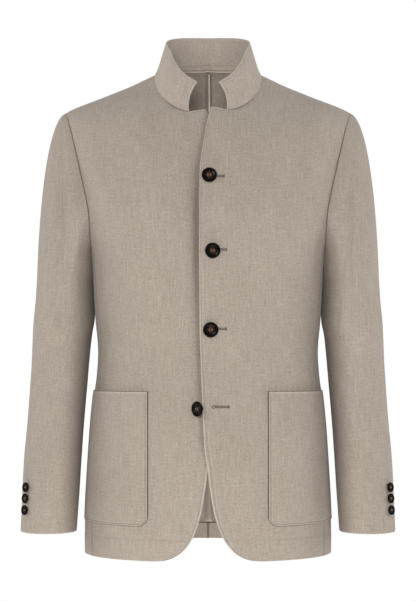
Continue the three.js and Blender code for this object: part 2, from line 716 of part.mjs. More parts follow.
function pocket(side) {
  const { rows, corner, corner_columns, middle_columns, wide, lift, fullness } = POCKET;
  const columns = 2 * corner_columns + middle_columns;
  const high = POCKET.mouth - POCKET.bottom;
  const edge = corner / wide;
  const place = (row, column, out) => {
    const fromEdge = Math.min(column, columns - column);
    const turn = Math.min(fromEdge / corner_columns, 1) * Math.PI / 2;
    const middle = (column - corner_columns) / middle_columns;
    const near = edge * (1 - Math.cos(turn));
    let across = mix(edge, 1 - edge, middle);
    if (column < corner_columns) across = near;
    if (column > columns - corner_columns) across = 1 - near;
    const up = mix((corner / high) * (1 - Math.sin(turn)), 1, row / rows);
    const raise = (fullness + lift * up ** 3) * Math.sqrt(Math.sin(Math.PI * across));
    return bodySkin(pocketPlace(side, across, up), SEAM_GAP + raise + out);
  };
  const at = (row, column) => row * (columns + 1) + column;
  const outer = [];
  const inner = [];
  const triangles = [];
  const count = (rows + 1) * (columns + 1);
  for (let i = 0; i <= rows; i++) {
    for (let j = 0; j <= columns; j++) {
      outer.push(place(i, j, CLOTH));
      inner.push(place(i, j, 0));
    }
  }
  const quad = (a, b, c, d) => {
    const order = side > 0 ? [a, b, c, a, c, d] : [a, c, b, a, d, c];
    triangles.push(...order);
  };
  for (let i = 0; i < rows; i++) {
    for (let j = 0; j < columns; j++) {
      const [a, b, c, d] = [at(i, j), at(i, j + 1), at(i + 1, j + 1), at(i + 1, j)];
      quad(a, b, c, d);
      quad(d + count, c + count, b + count, a + count);
    }
  }
  const rim = [];
  for (let j = 0; j < columns; j++) rim.push([at(0, j), at(0, j + 1)]);
  for (let i = 0; i < rows; i++) rim.push([at(i, columns), at(i + 1, columns)]);
  for (let j = columns; j > 0; j--) rim.push([at(rows, j), at(rows, j - 1)]);
  for (let i = rows; i > 0; i--) rim.push([at(i, 0), at(i - 1, 0)]);
  for (const [from, to] of rim) quad(to, from, from + count, to + count);
  return solid(`pocket_${word(side)}`, [...outer, ...inner], triangles);
}

// Buttons: turned discs with a rounded rim and a dished face

// A thread shank of the given length stands under the button
function button(name, { radius, thick, dish, sides }, point, normal, shank = 0) {
  const foot = [new THREE.Vector2(0, -shank)];
  if (shank > 0) foot.push(new THREE.Vector2(THREAD_RADIUS, -shank), new THREE.Vector2(THREAD_RADIUS, 0));
  const profile = [
    ...foot,
    ...BUTTON_SECTION.map(({ out, up }) => new THREE.Vector2(radius * out, thick * up)),
    new THREE.Vector2(radius * BUTTON_FACE_SHARE, thick - dish),
    new THREE.Vector2(0, thick - dish),
  ];
  const geometry = new THREE.LatheGeometry(profile, sides);
  const material = new THREE.MeshStandardMaterial({ color: BUTTON_BROWN, roughness: 0.3, metalness: 0 });
  const mesh = new THREE.Mesh(geometry, material);
  mesh.name = name;
  mesh.quaternion.setFromUnitVectors(new THREE.Vector3(0, 1, 0), normal);
  mesh.position.copy(point);
  return mesh;
}

function frontButtons() {
  const fastened = FASTENED_BUTTONS.map(({ x, z }, n) => {
    const place = bodyPlace(x, z);
    const normal = bodyNormal(place.angle, place.level);
    const point = bodySkin(place, LAP.step + 2 * SEAM_GAP);
    return button(`button_front_${n + 1}`, FRONT_BUTTON, point, normal);
  });
  const place = bodyPlace(LOOSE_BUTTON.x, LOOSE_BUTTON.z);
  const turn = radians(LOOSE_BUTTON.turn);
  const normal = new THREE.Vector3(0, -1, 0).applyAxisAngle(new THREE.Vector3(0, 0, 1), -turn);
  const stand = FRONT_BUTTON.radius * Math.sin(turn) + 2 * SEAM_GAP;
  const point = bodySkin(place, stand - LAP.step);
  const shank = (stand - 2 * SEAM_GAP) / Math.cos(turn) - THREAD_RADIUS * Math.sin(turn);
  return [...fastened, button("button_front_4", FRONT_BUTTON, point, normal, shank)];
}

function cuffButtons(side) {
  return CUFF_BUTTON_HEIGHTS.map((z, n) => {
    const angle = radians(CUFF_BUTTON_ANGLE);
    const point = armPoint(side, angle, z);
    const round = armPoint(side, angle + NEAR.angle, z).sub(armPoint(side, angle - NEAR.angle, z));
    const up = armPoint(side, angle, z + NEAR.height).sub(armPoint(side, angle, z - NEAR.height));
    const normal = up.cross(round).normalize().multiplyScalar(side);
    point.addScaledVector(normal, SEAM_GAP);
    return button(`cuff_button_${word(side)}_${n + 1}`, CUFF_BUTTON, point, normal);
  });
}

const pieces = [collar()];
for (const side of [1, -1]) {
  pieces.push(front(side), sidePanel(side), back(side));
  pieces.push(sleeveHalf(side, "under", FRONT_ARM_SEAM_STEP, HIND_ARM_SEAM_STEP));
  pieces.push(sleeveHalf(side, "top", HIND_ARM_SEAM_STEP, FRONT_ARM_SEAM_STEP + ARMHOLE_STEPS));
}
const mitres = clothMitres(pieces);

const blazer = new THREE.Group();
blazer.name = "blazer";
for (const piece of pieces) blazer.add(wall(piece, mitres));
blazer.getObjectByName("collar").material.color.set(LINEN_COLLAR);
for (const side of [1, -1]) blazer.add(pocket(side), ...cuffButtons(side));
blazer.add(...frontButtons());

export default blazer;
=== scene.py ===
import math

import bpy
import numpy as np
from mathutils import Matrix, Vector


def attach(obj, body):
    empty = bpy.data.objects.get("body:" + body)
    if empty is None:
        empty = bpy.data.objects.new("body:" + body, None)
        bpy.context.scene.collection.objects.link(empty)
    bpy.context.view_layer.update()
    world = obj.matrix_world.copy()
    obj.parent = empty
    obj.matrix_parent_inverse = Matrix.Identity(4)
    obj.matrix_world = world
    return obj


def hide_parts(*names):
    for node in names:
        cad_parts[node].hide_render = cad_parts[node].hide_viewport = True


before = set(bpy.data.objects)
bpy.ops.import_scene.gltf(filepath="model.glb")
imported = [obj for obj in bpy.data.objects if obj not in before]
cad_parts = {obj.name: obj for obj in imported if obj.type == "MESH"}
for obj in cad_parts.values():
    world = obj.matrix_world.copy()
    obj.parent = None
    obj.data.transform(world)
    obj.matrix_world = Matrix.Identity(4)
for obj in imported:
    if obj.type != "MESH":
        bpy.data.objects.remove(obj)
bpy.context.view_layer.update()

# Back, of two panels with a seam down the middle
# Plain-woven linen in a warm taupe, cut in two panels that run from the hem to the shoulders.
# The form of the whole body is worked out here, because every other piece is sewn to it.

MM = 0.001


def linear(hex_colour):
    channels = [int(hex_colour[i : i + 2], 16) / 255 for i in (1, 3, 5)]
    curve = [c / 12.92 if c <= 0.04045 else ((c + 0.055) / 1.055) ** 2.4 for c in channels]
    return (*curve, 1.0)


def node(tree, kind, links=None, **settings):
    """Adds a node. links maps an input to a value or to another node's output."""
    made = tree.nodes.new(kind)
    for name, value in settings.items():
        setattr(made, name, value)
    for name, value in (links or {}).items():
        socket = made.inputs[name]
        if isinstance(value, bpy.types.NodeSocket):
            tree.links.new(value, socket)
        else:
            socket.default_value = value
    return made


def start_material(name, even):
    """A material, its node tree and its shader, set to the values that are the same all over."""
    material = bpy.data.materials.new(name)
    material.use_nodes = True
    shader = material.node_tree.nodes["Principled BSDF"]
    for socket, value in even.items():
        shader.inputs[socket].default_value = value
    return material, material.node_tree, shader


# Yarns as they show in the cloth: width and length of a streak in millimetres, how much finer
# detail it has, and how strongly it colours the cloth. The real threads are 0.6 mm apart.
# They are drawn about twice as wide, so that they show. Warp yarns run up and down.
YARNS = [
    (1.5, 26, 2.0, 0.34),
    (2.6, 60, 1.0, 0.12),
    (24, 1.5, 2.0, 0.24),
    (1.4, 1.6, 1.0, 0.38),
    (2.8, 3.4, 1.0, 0.3),
    (70, 110, 2.0, 0.12),
]
TONE_LOW, TONE_HIGH = 0.22, 0.78
WEAVE_MM, WEAVE_SHARE, RELIEF_MM = 1.3, 0.2, 0.35
LINEN_PALE = "#b9aea2"
LINEN_DARK = "#7f7368"
# Cloth is painted darker in a seam, as painted shade, and paler along a folded edge, as a
# painted highlight. A mesh attribute says how much of each there is: it is over 0 for painted
# shade in a seam and under 0 for a painted highlight on an edge.
SEAM_SHADE = "#463a30"
EDGE_HIGHLIGHT = "#d8cdc0"


def linen(name, pale=LINEN_PALE, dark=LINEN_DARK):
    """Pale and dark flax spun together and plain-woven. It is matt, with long thin streaks."""
    even = {
        "Roughness": 0.9,
        "IOR": 1.5,
        "Specular IOR Level": 0.25,
        "Sheen Weight": 0.12,
        "Sheen Roughness": 0.5,
    }
    material, tree, shader = start_material(name, even)
    cloth = node(tree, "ShaderNodeUVMap", uv_map="cloth").outputs["UV"]
    tone = 0.5
    for width, length, detail, strength in YARNS:
        scale = (1 / (width * MM), 1 / (length * MM), 1)
        size = node(tree, "ShaderNodeMapping", {"Vector": cloth, "Scale": scale})
        streak = node(
            tree,
            "ShaderNodeTexNoise",
            {"Vector": size.outputs[0], "Scale": 1.0, "Detail": detail, "Roughness": 0.6},
        )
        about_zero = node(tree, "ShaderNodeMath", {0: streak.outputs["Fac"], 1: 0.5}, operation="SUBTRACT")
        added = {0: about_zero.outputs[0], 1: strength, 2: tone}
        tone = node(tree, "ShaderNodeMath", added, operation="MULTIPLY_ADD").outputs[0]
    spun = node(tree, "ShaderNodeValToRGB", {"Fac": tone})
    low, high = spun.color_ramp.elements
    low.position, low.color = TONE_LOW, linear(dark)
    high.position, high.color = TONE_HIGH, linear(pale)
    # Painted shade in seams and painted highlights along edges, mixed in from the mesh attribute
    painted_shade = node(tree, "ShaderNodeAttribute", attribute_name="painted_shade").outputs["Fac"]
    colour = spun.outputs["Color"]
    for sign, painted_light_and_wear in ((1.0, SEAM_SHADE), (-1.0, EDGE_HIGHLIGHT)):
        share = node(tree, "ShaderNodeMath", {0: painted_shade, 1: sign}, operation="MULTIPLY").outputs[0]
        mixed = {"Factor": share, 6: colour, 7: linear(painted_light_and_wear)}
        colour = node(tree, "ShaderNodeMix", mixed, data_type="RGBA").outputs[2]
    axes = node(tree, "ShaderNodeSeparateXYZ", {0: cloth}).outputs
    turns = 2 * math.pi / (WEAVE_MM * MM)
    waves = []
    for axis in ("X", "Y"):
        turned = node(tree, "ShaderNodeMath", {0: axes[axis], 1: turns}, operation="MULTIPLY")
        waves.append(node(tree, "ShaderNodeMath", {0: turned.outputs[0]}, operation="SINE").outputs[0])
    weave = node(tree, "ShaderNodeMath", {0: waves[0], 1: waves[1]}, operation="MULTIPLY").outputs[0]
    raised = {0: weave, 1: WEAVE_SHARE, 2: tone}
    height = node(tree, "ShaderNodeMath", raised, operation="MULTIPLY_ADD").outputs[0]
    relief = {"Height": height, "Strength": 0.6, "Distance": RELIEF_MM * MM}
    bump = node(tree, "ShaderNodeBump", relief)
    tree.links.new(colour, shader.inputs["Base Color"])
    tree.links.new(bump.outputs["Normal"], shader.inputs["Normal"])
    return material


taupe_linen = linen("plain_woven_taupe_linen")


def table(names, rows):
    """Rows of numbers under named columns."""
    return dict(zip(names.split(), np.array(rows, float).T))


GIRTH = table(
    "z half front mid back",
    [
        (-736, 190.5, -133, 0, 128),
        (-700, 190.5, -133.5, 0, 127.5),
        (-650, 188.5, -134, 0, 126),
        (-550, 182, -133, 0, 118),
        (-500, 177, -131, 0, 110),
        (-470, 172.5, -129.5, 0, 105),
        (-427, 170, -128, 0, 100),
        (-382, 173.8, -130, 0, 104),
        (-350, 176.3, -132, 0, 108),
        (-290, 180, -137, 2, 120),
        (-260, 186.5, -138, 4, 124),
        (-230, 198, -138, 6, 126),
        (-185, 206, -138, 8, 127),
        (-130, 218, -138, 11, 127),
        (-60, 230, -138, 13, 127),
        (0, 240, -138, 15, 127),
    ],
)
GIRTH_ROUNDING = 2.3
HEM, CHEST = -737.2, -230
SHOULDER = table(
    "x z",
    [
        (0, 24),
        (40, 18.5),
        (60, 12),
        (80, 2),
        (100, -7.5),
        (121, -17.5),
        (167, -36),
        (206, -51),
        (222, -59),
        (240, -70),
    ],
)
CROWN_NECK = {"front": 1.5, "back": 4.7}
CROWN_ARM = {"front": 2.0, "back": 2.5}
CROWN_ARM_X = 200
ARMHOLE = table(
    "z x",
    [
        (-290, 180),
        (-251, 179.5),
        (-215, 181.5),
        (-185, 187.5),
        (-148, 196),
        (-111, 205),
        (-74, 215),
        (-59, 222),
    ],
)
ARMHOLE_STEPS = 28
FRONT_SEAM_STEP, BACK_SEAM_STEP = 11, 17
NECK_SIDE = 80
NECK_FRONT_X, NECK_FRONT_DROP = 28, 65
NECK_BACK_FALL, NECK_BACK_FULLNESS = 59.5, 1.6
NECK_FRONT_STEPS, NECK_BACK_STEPS, SHOULDER_STEPS = 6, 5, 8
SEAM_ANGLES = {FRONT_SEAM_STEP: 65.5, BACK_SEAM_STEP: 112}
ROUND_CORNER = np.array([(84, HEM), (30, HEM - 1.5), (10, -700), (0, -608)], float)
CORNER_ROWS, PLAIN_ROWS = 7, 8
LOW_ROWS = CORNER_ROWS + PLAIN_ROWS
ALL_ROWS = LOW_ROWS + FRONT_SEAM_STEP
NOTCH_ROW = ALL_ROWS - NECK_FRONT_STEPS
LEAST_ROW_SHARE = 0.003


def read(rows, along, place, column):
    """A column's value at a place along another one, by a smooth curve through the rows."""
    x, y = rows[along], rows[column]
    place = np.clip(place, x[0], x[-1])
    i = np.clip(np.searchsorted(x, place, side="right") - 1, 0, len(x) - 2)
    before, after = np.maximum(np.arange(len(x)) - 1, 0), np.minimum(np.arange(len(x)) + 1, len(x) - 1)
    slope = (y[after] - y[before]) / (x[after] - x[before])
    span = x[i + 1] - x[i]
    t = (place - x[i]) / span
    keep = 2 * t**3 - 3 * t**2 + 1
    bend = (t**3 - 2 * t**2 + t) * span * slope[i] + (t**3 - t**2) * span * slope[i + 1]
    return keep * y[i] + (1 - keep) * y[i + 1] + bend


def signed_power(value, power):
    return np.sign(value) * np.abs(value) ** power


def mix(a, b, t):
    return a + (b - a) * t


def smooth(t):
    t = np.clip(t, 0, 1)
    return t * t * (3 - 2 * t)


def shoulder_height(x):
    return read(SHOULDER, "x", np.abs(x), "z")


def crown(x, back):
    share = np.minimum(np.abs(x) / CROWN_ARM_X, 1)
    front = mix(CROWN_NECK["front"], CROWN_ARM["front"], share)
    return np.where(back, mix(CROWN_NECK["back"], CROWN_ARM["back"], share), front)


def body_form(angle, level):
    """Points of the body's form: angle round it from the centre front, level up and over it."""
    half, mid = read(GIRTH, "z", level, "half"), read(GIRTH, "z", level, "mid")
    fore = np.cos(angle)
    back = fore < 0
    reach = np.where(
        back, read(GIRTH, "z", level, "back") - mid, mid - read(GIRTH, "z", level, "front")
    )
    x = half * signed_power(np.sin(angle), 2 / GIRTH_ROUNDING)
    over = np.clip(1 - level / CHEST, 0, 1) * math.pi / 2
    power = 2 / crown(x, back)
    depth = reach * np.abs(fore) ** (2 / GIRTH_ROUNDING) * np.abs(np.cos(over)) ** power
    rise = CHEST + (shoulder_height(x) - CHEST) * np.sin(over) ** power
    z = np.where(level > CHEST, rise, level)
    return np.stack([x, np.where(back, mid + depth, mid - depth), z], -1)


def body_angle(x, level, back=False):
    share = np.clip(x / read(GIRTH, "z", level, "half"), -1, 1)
    front = np.arcsin(signed_power(share, GIRTH_ROUNDING / 2))
    return np.where(back, np.where(x < 0, -1, 1) * math.pi - front, front), level


def body_place(x, z, back=False):
    """Angle and level of the form's point that is seen at x, z from the front or the back."""
    x, z = np.broadcast_arrays(np.asarray(x, float), np.asarray(z, float))
    share = np.clip((z - CHEST) / (shoulder_height(x) - CHEST), 0, 1)
    over = np.arcsin(share ** (crown(x, back) / 2))
    level = np.where(z > CHEST, CHEST * (1 - over / (math.pi / 2)), z)
    return body_angle(x, level, back)


# Steps along the form that give its directions, and how far below its ridge they are taken
NEAR_ANGLE, NEAR_LEVEL, BELOW_RIDGE = 1e-3, 0.5, 1


def unit(vectors):
    return vectors / np.maximum(np.linalg.norm(vectors, axis=-1, keepdims=True), 1e-12)


def body_normal(angle, level):
    """Directions out of the body's form."""
    lower = np.minimum(level, -BELOW_RIDGE)
    around = body_form(angle + NEAR_ANGLE, lower) - body_form(angle - NEAR_ANGLE, lower)
    up = body_form(angle, lower + NEAR_LEVEL) - body_form(angle, lower - NEAR_LEVEL)
    return unit(np.cross(around, up))


# Soft folds and creases of the back: distance from the middle, height, half length, half
# width, how far they stand out, and lean in degrees
BACK_FOLDS = table(
    "x z run across depth lean",
    [
        (-118, -190, 120, 20, -3, 6),
        (120, -185, 120, 20, -3, -6),
        (-60, -400, 120, 30, 2, -4),
        (64, -410, 120, 30, 2, 4),
        (-96, -118, 60, 15, 1.6, -24),
        (88, -112, 52, 14, 1.8, 21),
        (-34, -78, 13, 58, -1.3, 4),
        (41, -86, 12, 50, -1.1, -5),
        (-138, -452, 15, 46, -1.6, 9),
        (132, -441, 13, 52, -1.8, -11),
        (-92, -476, 12, 40, 1.1, 5),
        (103, -468, 11, 36, 1.2, -7),
        (-121, -640, 90, 22, 1.7, 2),
        (56, -655, 84, 26, -1.5, -3),
        (138, -662, 70, 18, 1.4, -2),
    ],
)
# Folds fade out toward the ridge of the shoulders, in millimetres, and toward the sides. One
# that starts nearer the middle than OVER_THE_MIDDLE runs on over it.
FOLD_FADE, FOLD_SIDE_FADE, OVER_THE_MIDDLE = 40, 0.3, 24
body_folds = [(BACK_FOLDS, -1)]


def fold_depth(across, along, run, width, depth, lean=0.0):
    turn = np.radians(lean)
    u = across * np.cos(turn) + along * np.sin(turn)
    v = along * np.cos(turn) - across * np.sin(turn)
    return depth * np.exp(-((u / width) ** 2) - (v / run) ** 2)


def body_skin(place, out=0.0):
    """Points on the body's cloth, folds and all, moved out by a distance."""
    angle, level = np.broadcast_arrays(*place)
    points = body_form(angle, level)
    x, z = points[..., 0], points[..., 2]
    relief = np.zeros(x.shape)
    for folds, facing in body_folds:
        shown = smooth(-facing * -np.cos(angle) / FOLD_SIDE_FADE)
        for fx, fz, run, across, depth, lean in zip(*folds.values()):
            own_side = (fx * x > 0) | (abs(fx) < OVER_THE_MIDDLE)
            fold = fold_depth(x - fx, z - fz, run, across, depth, lean)
            relief += np.where(own_side, fold * shown, 0)
    relief = relief * smooth(-level / FOLD_FADE)
    return points + body_normal(angle, level) * (relief + out)[..., None]


def round_armhole(step):
    """Angle at a step round the armhole, from the shoulder over the front to the back."""
    return step / ARMHOLE_STEPS * 2 * math.pi


def armhole_place(side, step):
    turn = round_armhole(step)
    z = mix(ARMHOLE["z"][0], ARMHOLE["z"][-1], (1 + np.cos(turn)) / 2)
    x = side * read(ARMHOLE, "z", z, "x")
    return body_place(x, z, turn > math.pi + 1e-9)


def front_neck_place(side, share):
    turn = (1 - share) * math.pi / 2
    x = NECK_FRONT_X + (NECK_SIDE - NECK_FRONT_X) * np.cos(turn)
    return body_place(side * x, shoulder_height(NECK_SIDE) - NECK_FRONT_DROP * np.sin(turn))


def back_neck_place(side, share):
    turn = (1 - share) * math.pi / 2
    level = -NECK_BACK_FALL * np.sin(turn) ** NECK_BACK_FULLNESS
    return body_angle(side * np.maximum(NECK_SIDE * np.cos(turn), 1e-6), level, True)


def between(a, b, t):
    return mix(a[0], b[0], t), mix(a[1], b[1], t)


def bezier(a, b, c, d, t):
    return (1 - t) ** 3 * a + 3 * (1 - t) ** 2 * t * b + 3 * (1 - t) * t**2 * c + t**3 * d


def corner_point(row):
    return bezier(*ROUND_CORNER, np.clip(row / CORNER_ROWS, 0, 1)[..., None])


def low_share(row):
    """Share of the height from the hem to the top of the side seam."""
    row = np.asarray(row, float)
    top = armhole_place(1, np.array(FRONT_SEAM_STEP))[1]
    corner = np.maximum((corner_point(row)[..., 1] - HEM) / (top - HEM), row * LEAST_ROW_SHARE)
    end = (ROUND_CORNER[-1][1] - HEM) / (top - HEM)
    return np.where(row <= CORNER_ROWS, corner, mix(end, 1, (row - CORNER_ROWS) / PLAIN_ROWS))


def seam_place(side, step, row):
    hem = (side * math.radians(SEAM_ANGLES[step]), HEM)
    return between(hem, armhole_place(side, np.array(step)), low_share(np.minimum(row, LOW_ROWS)))


def shoulder_place(side, share, back=False):
    return body_angle(side * mix(NECK_SIDE, ARMHOLE["x"][-1], share), np.zeros_like(share), back)


def back_place(side, row, column):
    row, column = np.broadcast_arrays(row, column)
    low = np.minimum(row, LOW_ROWS)
    rise = np.maximum(row - LOW_ROWS, 0) / (ALL_ROWS - LOW_ROWS)
    outer = between(
        seam_place(side, BACK_SEAM_STEP, low),
        armhole_place(side, BACK_SEAM_STEP + np.maximum(row - LOW_ROWS, 0)),
        row > LOW_ROWS,
    )
    neck, side_neck = back_neck_place(side, np.array(0.0)), back_neck_place(side, np.array(1.0))
    seam_top = armhole_place(side, np.array(BACK_SEAM_STEP))[1]
    height = mix(HEM, seam_top, low_share(low))
    middle = (np.full(row.shape, side * math.pi), mix(height, neck[1], rise))
    hem_share = NECK_BACK_STEPS / (NECK_BACK_STEPS + SHOULDER_STEPS)
    knee = between(between(middle, outer, hem_share), (side_neck[0], mix(height, 0, rise)), rise)
    share = np.clip((column - NECK_BACK_STEPS) / SHOULDER_STEPS, 0, 1)
    high = between(knee, outer, share)
    shoulder = shoulder_place(side, share, True)
    high = between(high, shoulder, smooth(row - ALL_ROWS + 1))
    share = np.clip(column / NECK_BACK_STEPS, 0, 1)
    straight = between(middle, knee, share)
    on_neck = back_neck_place(side, share)
    top = between(neck, side_neck, share)
    bent = [straight[k] + (on_neck[k] - top[k]) * rise**2 for k in (0, 1)]
    return between(bent, high, column > NECK_BACK_STEPS)


def fine(marks, per_step, close=(0.05, 0.14)):
    """Places between the marks, with some more close inside each end."""
    places = [
        np.linspace(a, b, max(int(round((b - a) * n)), 1) + 1)
        for a, b, n in zip(marks, marks[1:], per_step)
    ]
    places += [[marks[0] + step, marks[-1] - step] for step in close]
    return np.unique(np.concatenate(places).round(6))


# Thickness of the cloth, how deep it sinks in a seam, and how far an edge is rounded
CLOTH = 1.6
SEAM_DIP, EDGE_ROLL = 0.45, 0.4
# What a seam counts as that lies flush, and the share of its painted shade that spreads beside it
FLUSH, SHADE_BESIDE = 0.1, 0.22
# Pieces that lie on each other are this far apart
SEAM_GAP = 0.3
# The threads run straight up and down the front and the back, so the cloth is mapped by its
# distance round the body at one height, and by its height up to the chest and over it
MAP_LEVEL = -400
MAP_ANGLES = np.linspace(-math.pi, math.pi, 361)
MAP_LEVELS = np.linspace(CHEST, 0, 61)


def running_length(points, axis):
    steps = np.linalg.norm(np.diff(points, axis=axis), axis=-1)
    start = np.zeros_like(np.take(steps, [0], axis=axis))
    return np.cumsum(np.concatenate([start, steps], axis=axis), axis=axis)


girth_length = running_length(body_form(MAP_ANGLES, np.full(MAP_ANGLES.shape, MAP_LEVEL)), 0)
girth_length -= girth_length[len(girth_length) // 2]
over_chest = running_length(body_form(*np.meshgrid(MAP_ANGLES, MAP_LEVELS, indexing="ij")), 1)


def step_along(share, marks):
    """The mark before a share of the way along even marks, and how far past it that is."""
    at = np.clip(share * (len(marks) - 1), 0, len(marks) - 1.001)
    before = at.astype(int)
    return before, at - before


def body_map(place):
    """Metres along the weft and the warp at places on the body."""
    angle, level = np.broadcast_arrays(*place)
    stretch = read(GIRTH, "z", level, "half") / read(GIRTH, "z", MAP_LEVEL, "half")
    across = np.interp(angle, MAP_ANGLES, girth_length) * stretch
    i, past_i = step_along((angle / math.pi + 1) / 2, MAP_ANGLES)
    j, past_j = step_along(1 - level / CHEST, MAP_LEVELS)
    near = mix(over_chest[i, j], over_chest[i, j + 1], past_j)
    far = mix(over_chest[i + 1, j], over_chest[i + 1, j + 1], past_j)
    along = np.minimum(level, CHEST) + mix(near, far, past_i)
    return np.stack([across, along], -1) * MM


def make_mesh(name, points, faces, material, uv=None, painted_shade=None):
    """A piece made of points in millimetres, which moves with the blazer."""
    mesh = bpy.data.meshes.new(name)
    mesh.from_pydata((np.asarray(points) * MM).tolist(), [], np.asarray(faces).tolist())
    mesh.polygons.foreach_set("use_smooth", [True] * len(mesh.polygons))
    if uv is not None:
        layer = mesh.uv_layers.new(name="cloth")
        loops = np.zeros(len(mesh.loops), int)
        mesh.loops.foreach_get("vertex_index", loops)
        layer.data.foreach_set("uv", uv[loops].astype(np.float32).ravel())
    if painted_shade is not None:
        layer = mesh.attributes.new("painted_shade", "FLOAT", "POINT")
        layer.data.foreach_set("value", painted_shade.astype(np.float32))
    mesh.materials.append(material)
    mesh.update()
    made = bpy.data.objects.new(name, mesh)
    bpy.context.scene.collection.objects.link(made)
    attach(made, "root")
    return made


def shell(name, points, normals, material, uv, thick, seam, flip=False, keep=None, tone=0.0):
    """Thin closed shell of cloth on a grid of points.

    Its border dips where seam is 1, as at a pressed seam, and is painted darker there as
    painted shade. It is flush where seam is FLUSH, and is a rounded edge where seam is 0.
    tone adds painted shade (over 0) and painted highlight (under 0) to its face.
    """
    shape = points.shape[:2]
    cells = np.ones((shape[0] - 1, shape[1] - 1), bool) if keep is None else keep
    label = np.arange(shape[0] * shape[1]).reshape(shape)
    corners = np.stack([label[:-1, :-1], label[:-1, 1:], label[1:, 1:], label[1:, :-1]], -1)
    corners = corners[cells]
    if flip:
        corners = corners[:, ::-1]
    edges = {}
    for face in corners.tolist():
        for a, b in zip(face, face[1:] + face[:1]):
            if (b, a) in edges:
                del edges[(b, a)]
            else:
                edges[(a, b)] = True
    border = np.array(sorted(edges))
    rim = np.unique(border)
    sewn = np.broadcast_to(seam, shape).ravel()[rim]
    out = normals.reshape(-1, 3)
    outer = points.reshape(-1, 3).copy()
    inner = outer - out * np.broadcast_to(thick, shape).reshape(-1, 1)
    dip = np.interp(sewn, [0, FLUSH, 1], [EDGE_ROLL, 0, SEAM_DIP])
    outer[rim] -= out[rim] * dip[:, None]
    inner[rim] += out[rim] * np.interp(sewn, [0, FLUSH], [EDGE_ROLL, 0])[:, None]
    painted_shade = np.zeros(len(outer))
    painted_shade[rim] = (sewn - FLUSH).clip(0)
    beside = np.zeros(len(outer))
    np.maximum.at(beside, corners, SHADE_BESIDE * painted_shade[corners].max(axis=1)[:, None])
    painted_shade = np.maximum(painted_shade, beside)
    face_painted_shade = (painted_shade + np.broadcast_to(tone, shape).ravel()).clip(-1, 1)
    count = len(outer)
    walls = np.stack([border[:, 1], border[:, 0], border[:, 0] + count, border[:, 1] + count], -1)
    faces = np.concatenate([corners, corners[:, ::-1] + count, walls])
    used = np.unique(faces)
    order = np.zeros(2 * count, int)
    order[used] = np.arange(len(used))
    both_uv = np.concatenate([uv.reshape(-1, 2)] * 2)
    both_painted_shade = np.concatenate([face_painted_shade, painted_shade])
    both = np.concatenate([outer, inner])
    return make_mesh(name, both[used], order[faces], material, both_uv[used], both_painted_shade[used])


def declare(points, keep=None):
    """Works out the area of each of the panel's cells, or of the kept ones, and does nothing more with it.
    """
    cells = np.linalg.norm(
        np.cross(points[1:, 1:] - points[:-1, :-1], points[1:, :-1] - points[:-1, 1:]), axis=-1
    )
    if keep is not None:
        cells = cells[keep]


def word(side):
    return "left" if side > 0 else "right"


# The hem is turned up inside, less at the back, which leaves a step in the cloth and a faint
# line outside. The back's hem also rises a little toward its middle. Between the angles
# BACK_FROM and BACK_FULL round the body, the back's values take over from the front's.
HEM_TURN, BACK_TURN, BACK_RISE, BACK_FROM, BACK_FULL = 32, 25, 3.2, 2.0, 2.8
BACK_RISE_HIGH = 120
TURN_THICK = 1.2
HEM_LINE_DEPTH, HEM_LINE_WIDTH, HEM_LINE_SHADE = 0.22, 1.8, 0.05
PANEL_ROWS = fine([0, CORNER_ROWS, LOW_ROWS, NOTCH_ROW, ALL_ROWS], [5, 10, 9, 7])
row_heights = mix(HEM, armhole_place(1, np.array(FRONT_SEAM_STEP))[1], low_share(PANEL_ROWS))
beside_turn = np.array([-3, -1, 0, 1, 3])
turn_heights = HEM + np.concatenate([HEM_TURN + beside_turn, BACK_TURN + beside_turn])
low_rows = PANEL_ROWS <= LOW_ROWS
TURN_ROWS = np.interp(turn_heights, row_heights[low_rows], PANEL_ROWS[low_rows])
PANEL_ROWS = np.unique(np.concatenate([PANEL_ROWS, TURN_ROWS]))


def round_the_back(angle):
    return smooth((np.abs(angle) - BACK_FROM) / (BACK_FULL - BACK_FROM))


def above_turn(place):
    """Height above the upper edge of the turned-up hem."""
    angle, level = np.broadcast_arrays(*place)
    return level - HEM - mix(HEM_TURN, BACK_TURN, round_the_back(angle))


def hem_thickness(place):
    return np.where(above_turn(place) < 0, CLOTH + TURN_THICK, CLOTH)


def hem_line(place):
    return -HEM_LINE_DEPTH * np.exp(-((above_turn(place) / HEM_LINE_WIDTH) ** 2))


# Painted shade along the faint line above the turned-up hem
def hem_line_shade(place):
    return -hem_line(place) / HEM_LINE_DEPTH * HEM_LINE_SHADE


def raised_hem(place):
    angle, level = place
    low = 1 - smooth((level - HEM) / BACK_RISE_HIGH)
    return angle, level + BACK_RISE * low * round_the_back(angle)


BACK_COLUMNS = fine([0, NECK_BACK_STEPS, NECK_BACK_STEPS + SHOULDER_STEPS], [5, 5])
NECK_SEAM, SHOULDER_SEAM = 0.1, 0.5
for side in (1, -1):
    rows, columns = PANEL_ROWS[:, None], BACK_COLUMNS[None, :]
    place = np.broadcast_arrays(*back_place(side, rows, columns))
    points = body_skin(raised_hem(place), hem_line(place))
    seam = np.where(columns > NECK_BACK_STEPS, SHOULDER_SEAM, NECK_SEAM) * (rows == ALL_ROWS)
    seam = np.where((columns == columns.max()) | (columns == 0), 1, seam)
    seam = np.where(rows == 0, 0, seam)
    name = f"back_{word(side)}"
    back = shell(
        f"{name}_linen",
        points,
        body_normal(*place),
        taupe_linen,
        body_map(place),
        hem_thickness(place),
        flip=side > 0,
        seam=seam,
        tone=hem_line_shade(place),
    )
    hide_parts(name)
    declare(points)

# Felled seam inside the back
# The edges of the centre back seam are folded together inside, pressed to one side and sewn
# down flat. The fold makes a narrow ridge that catches the light.

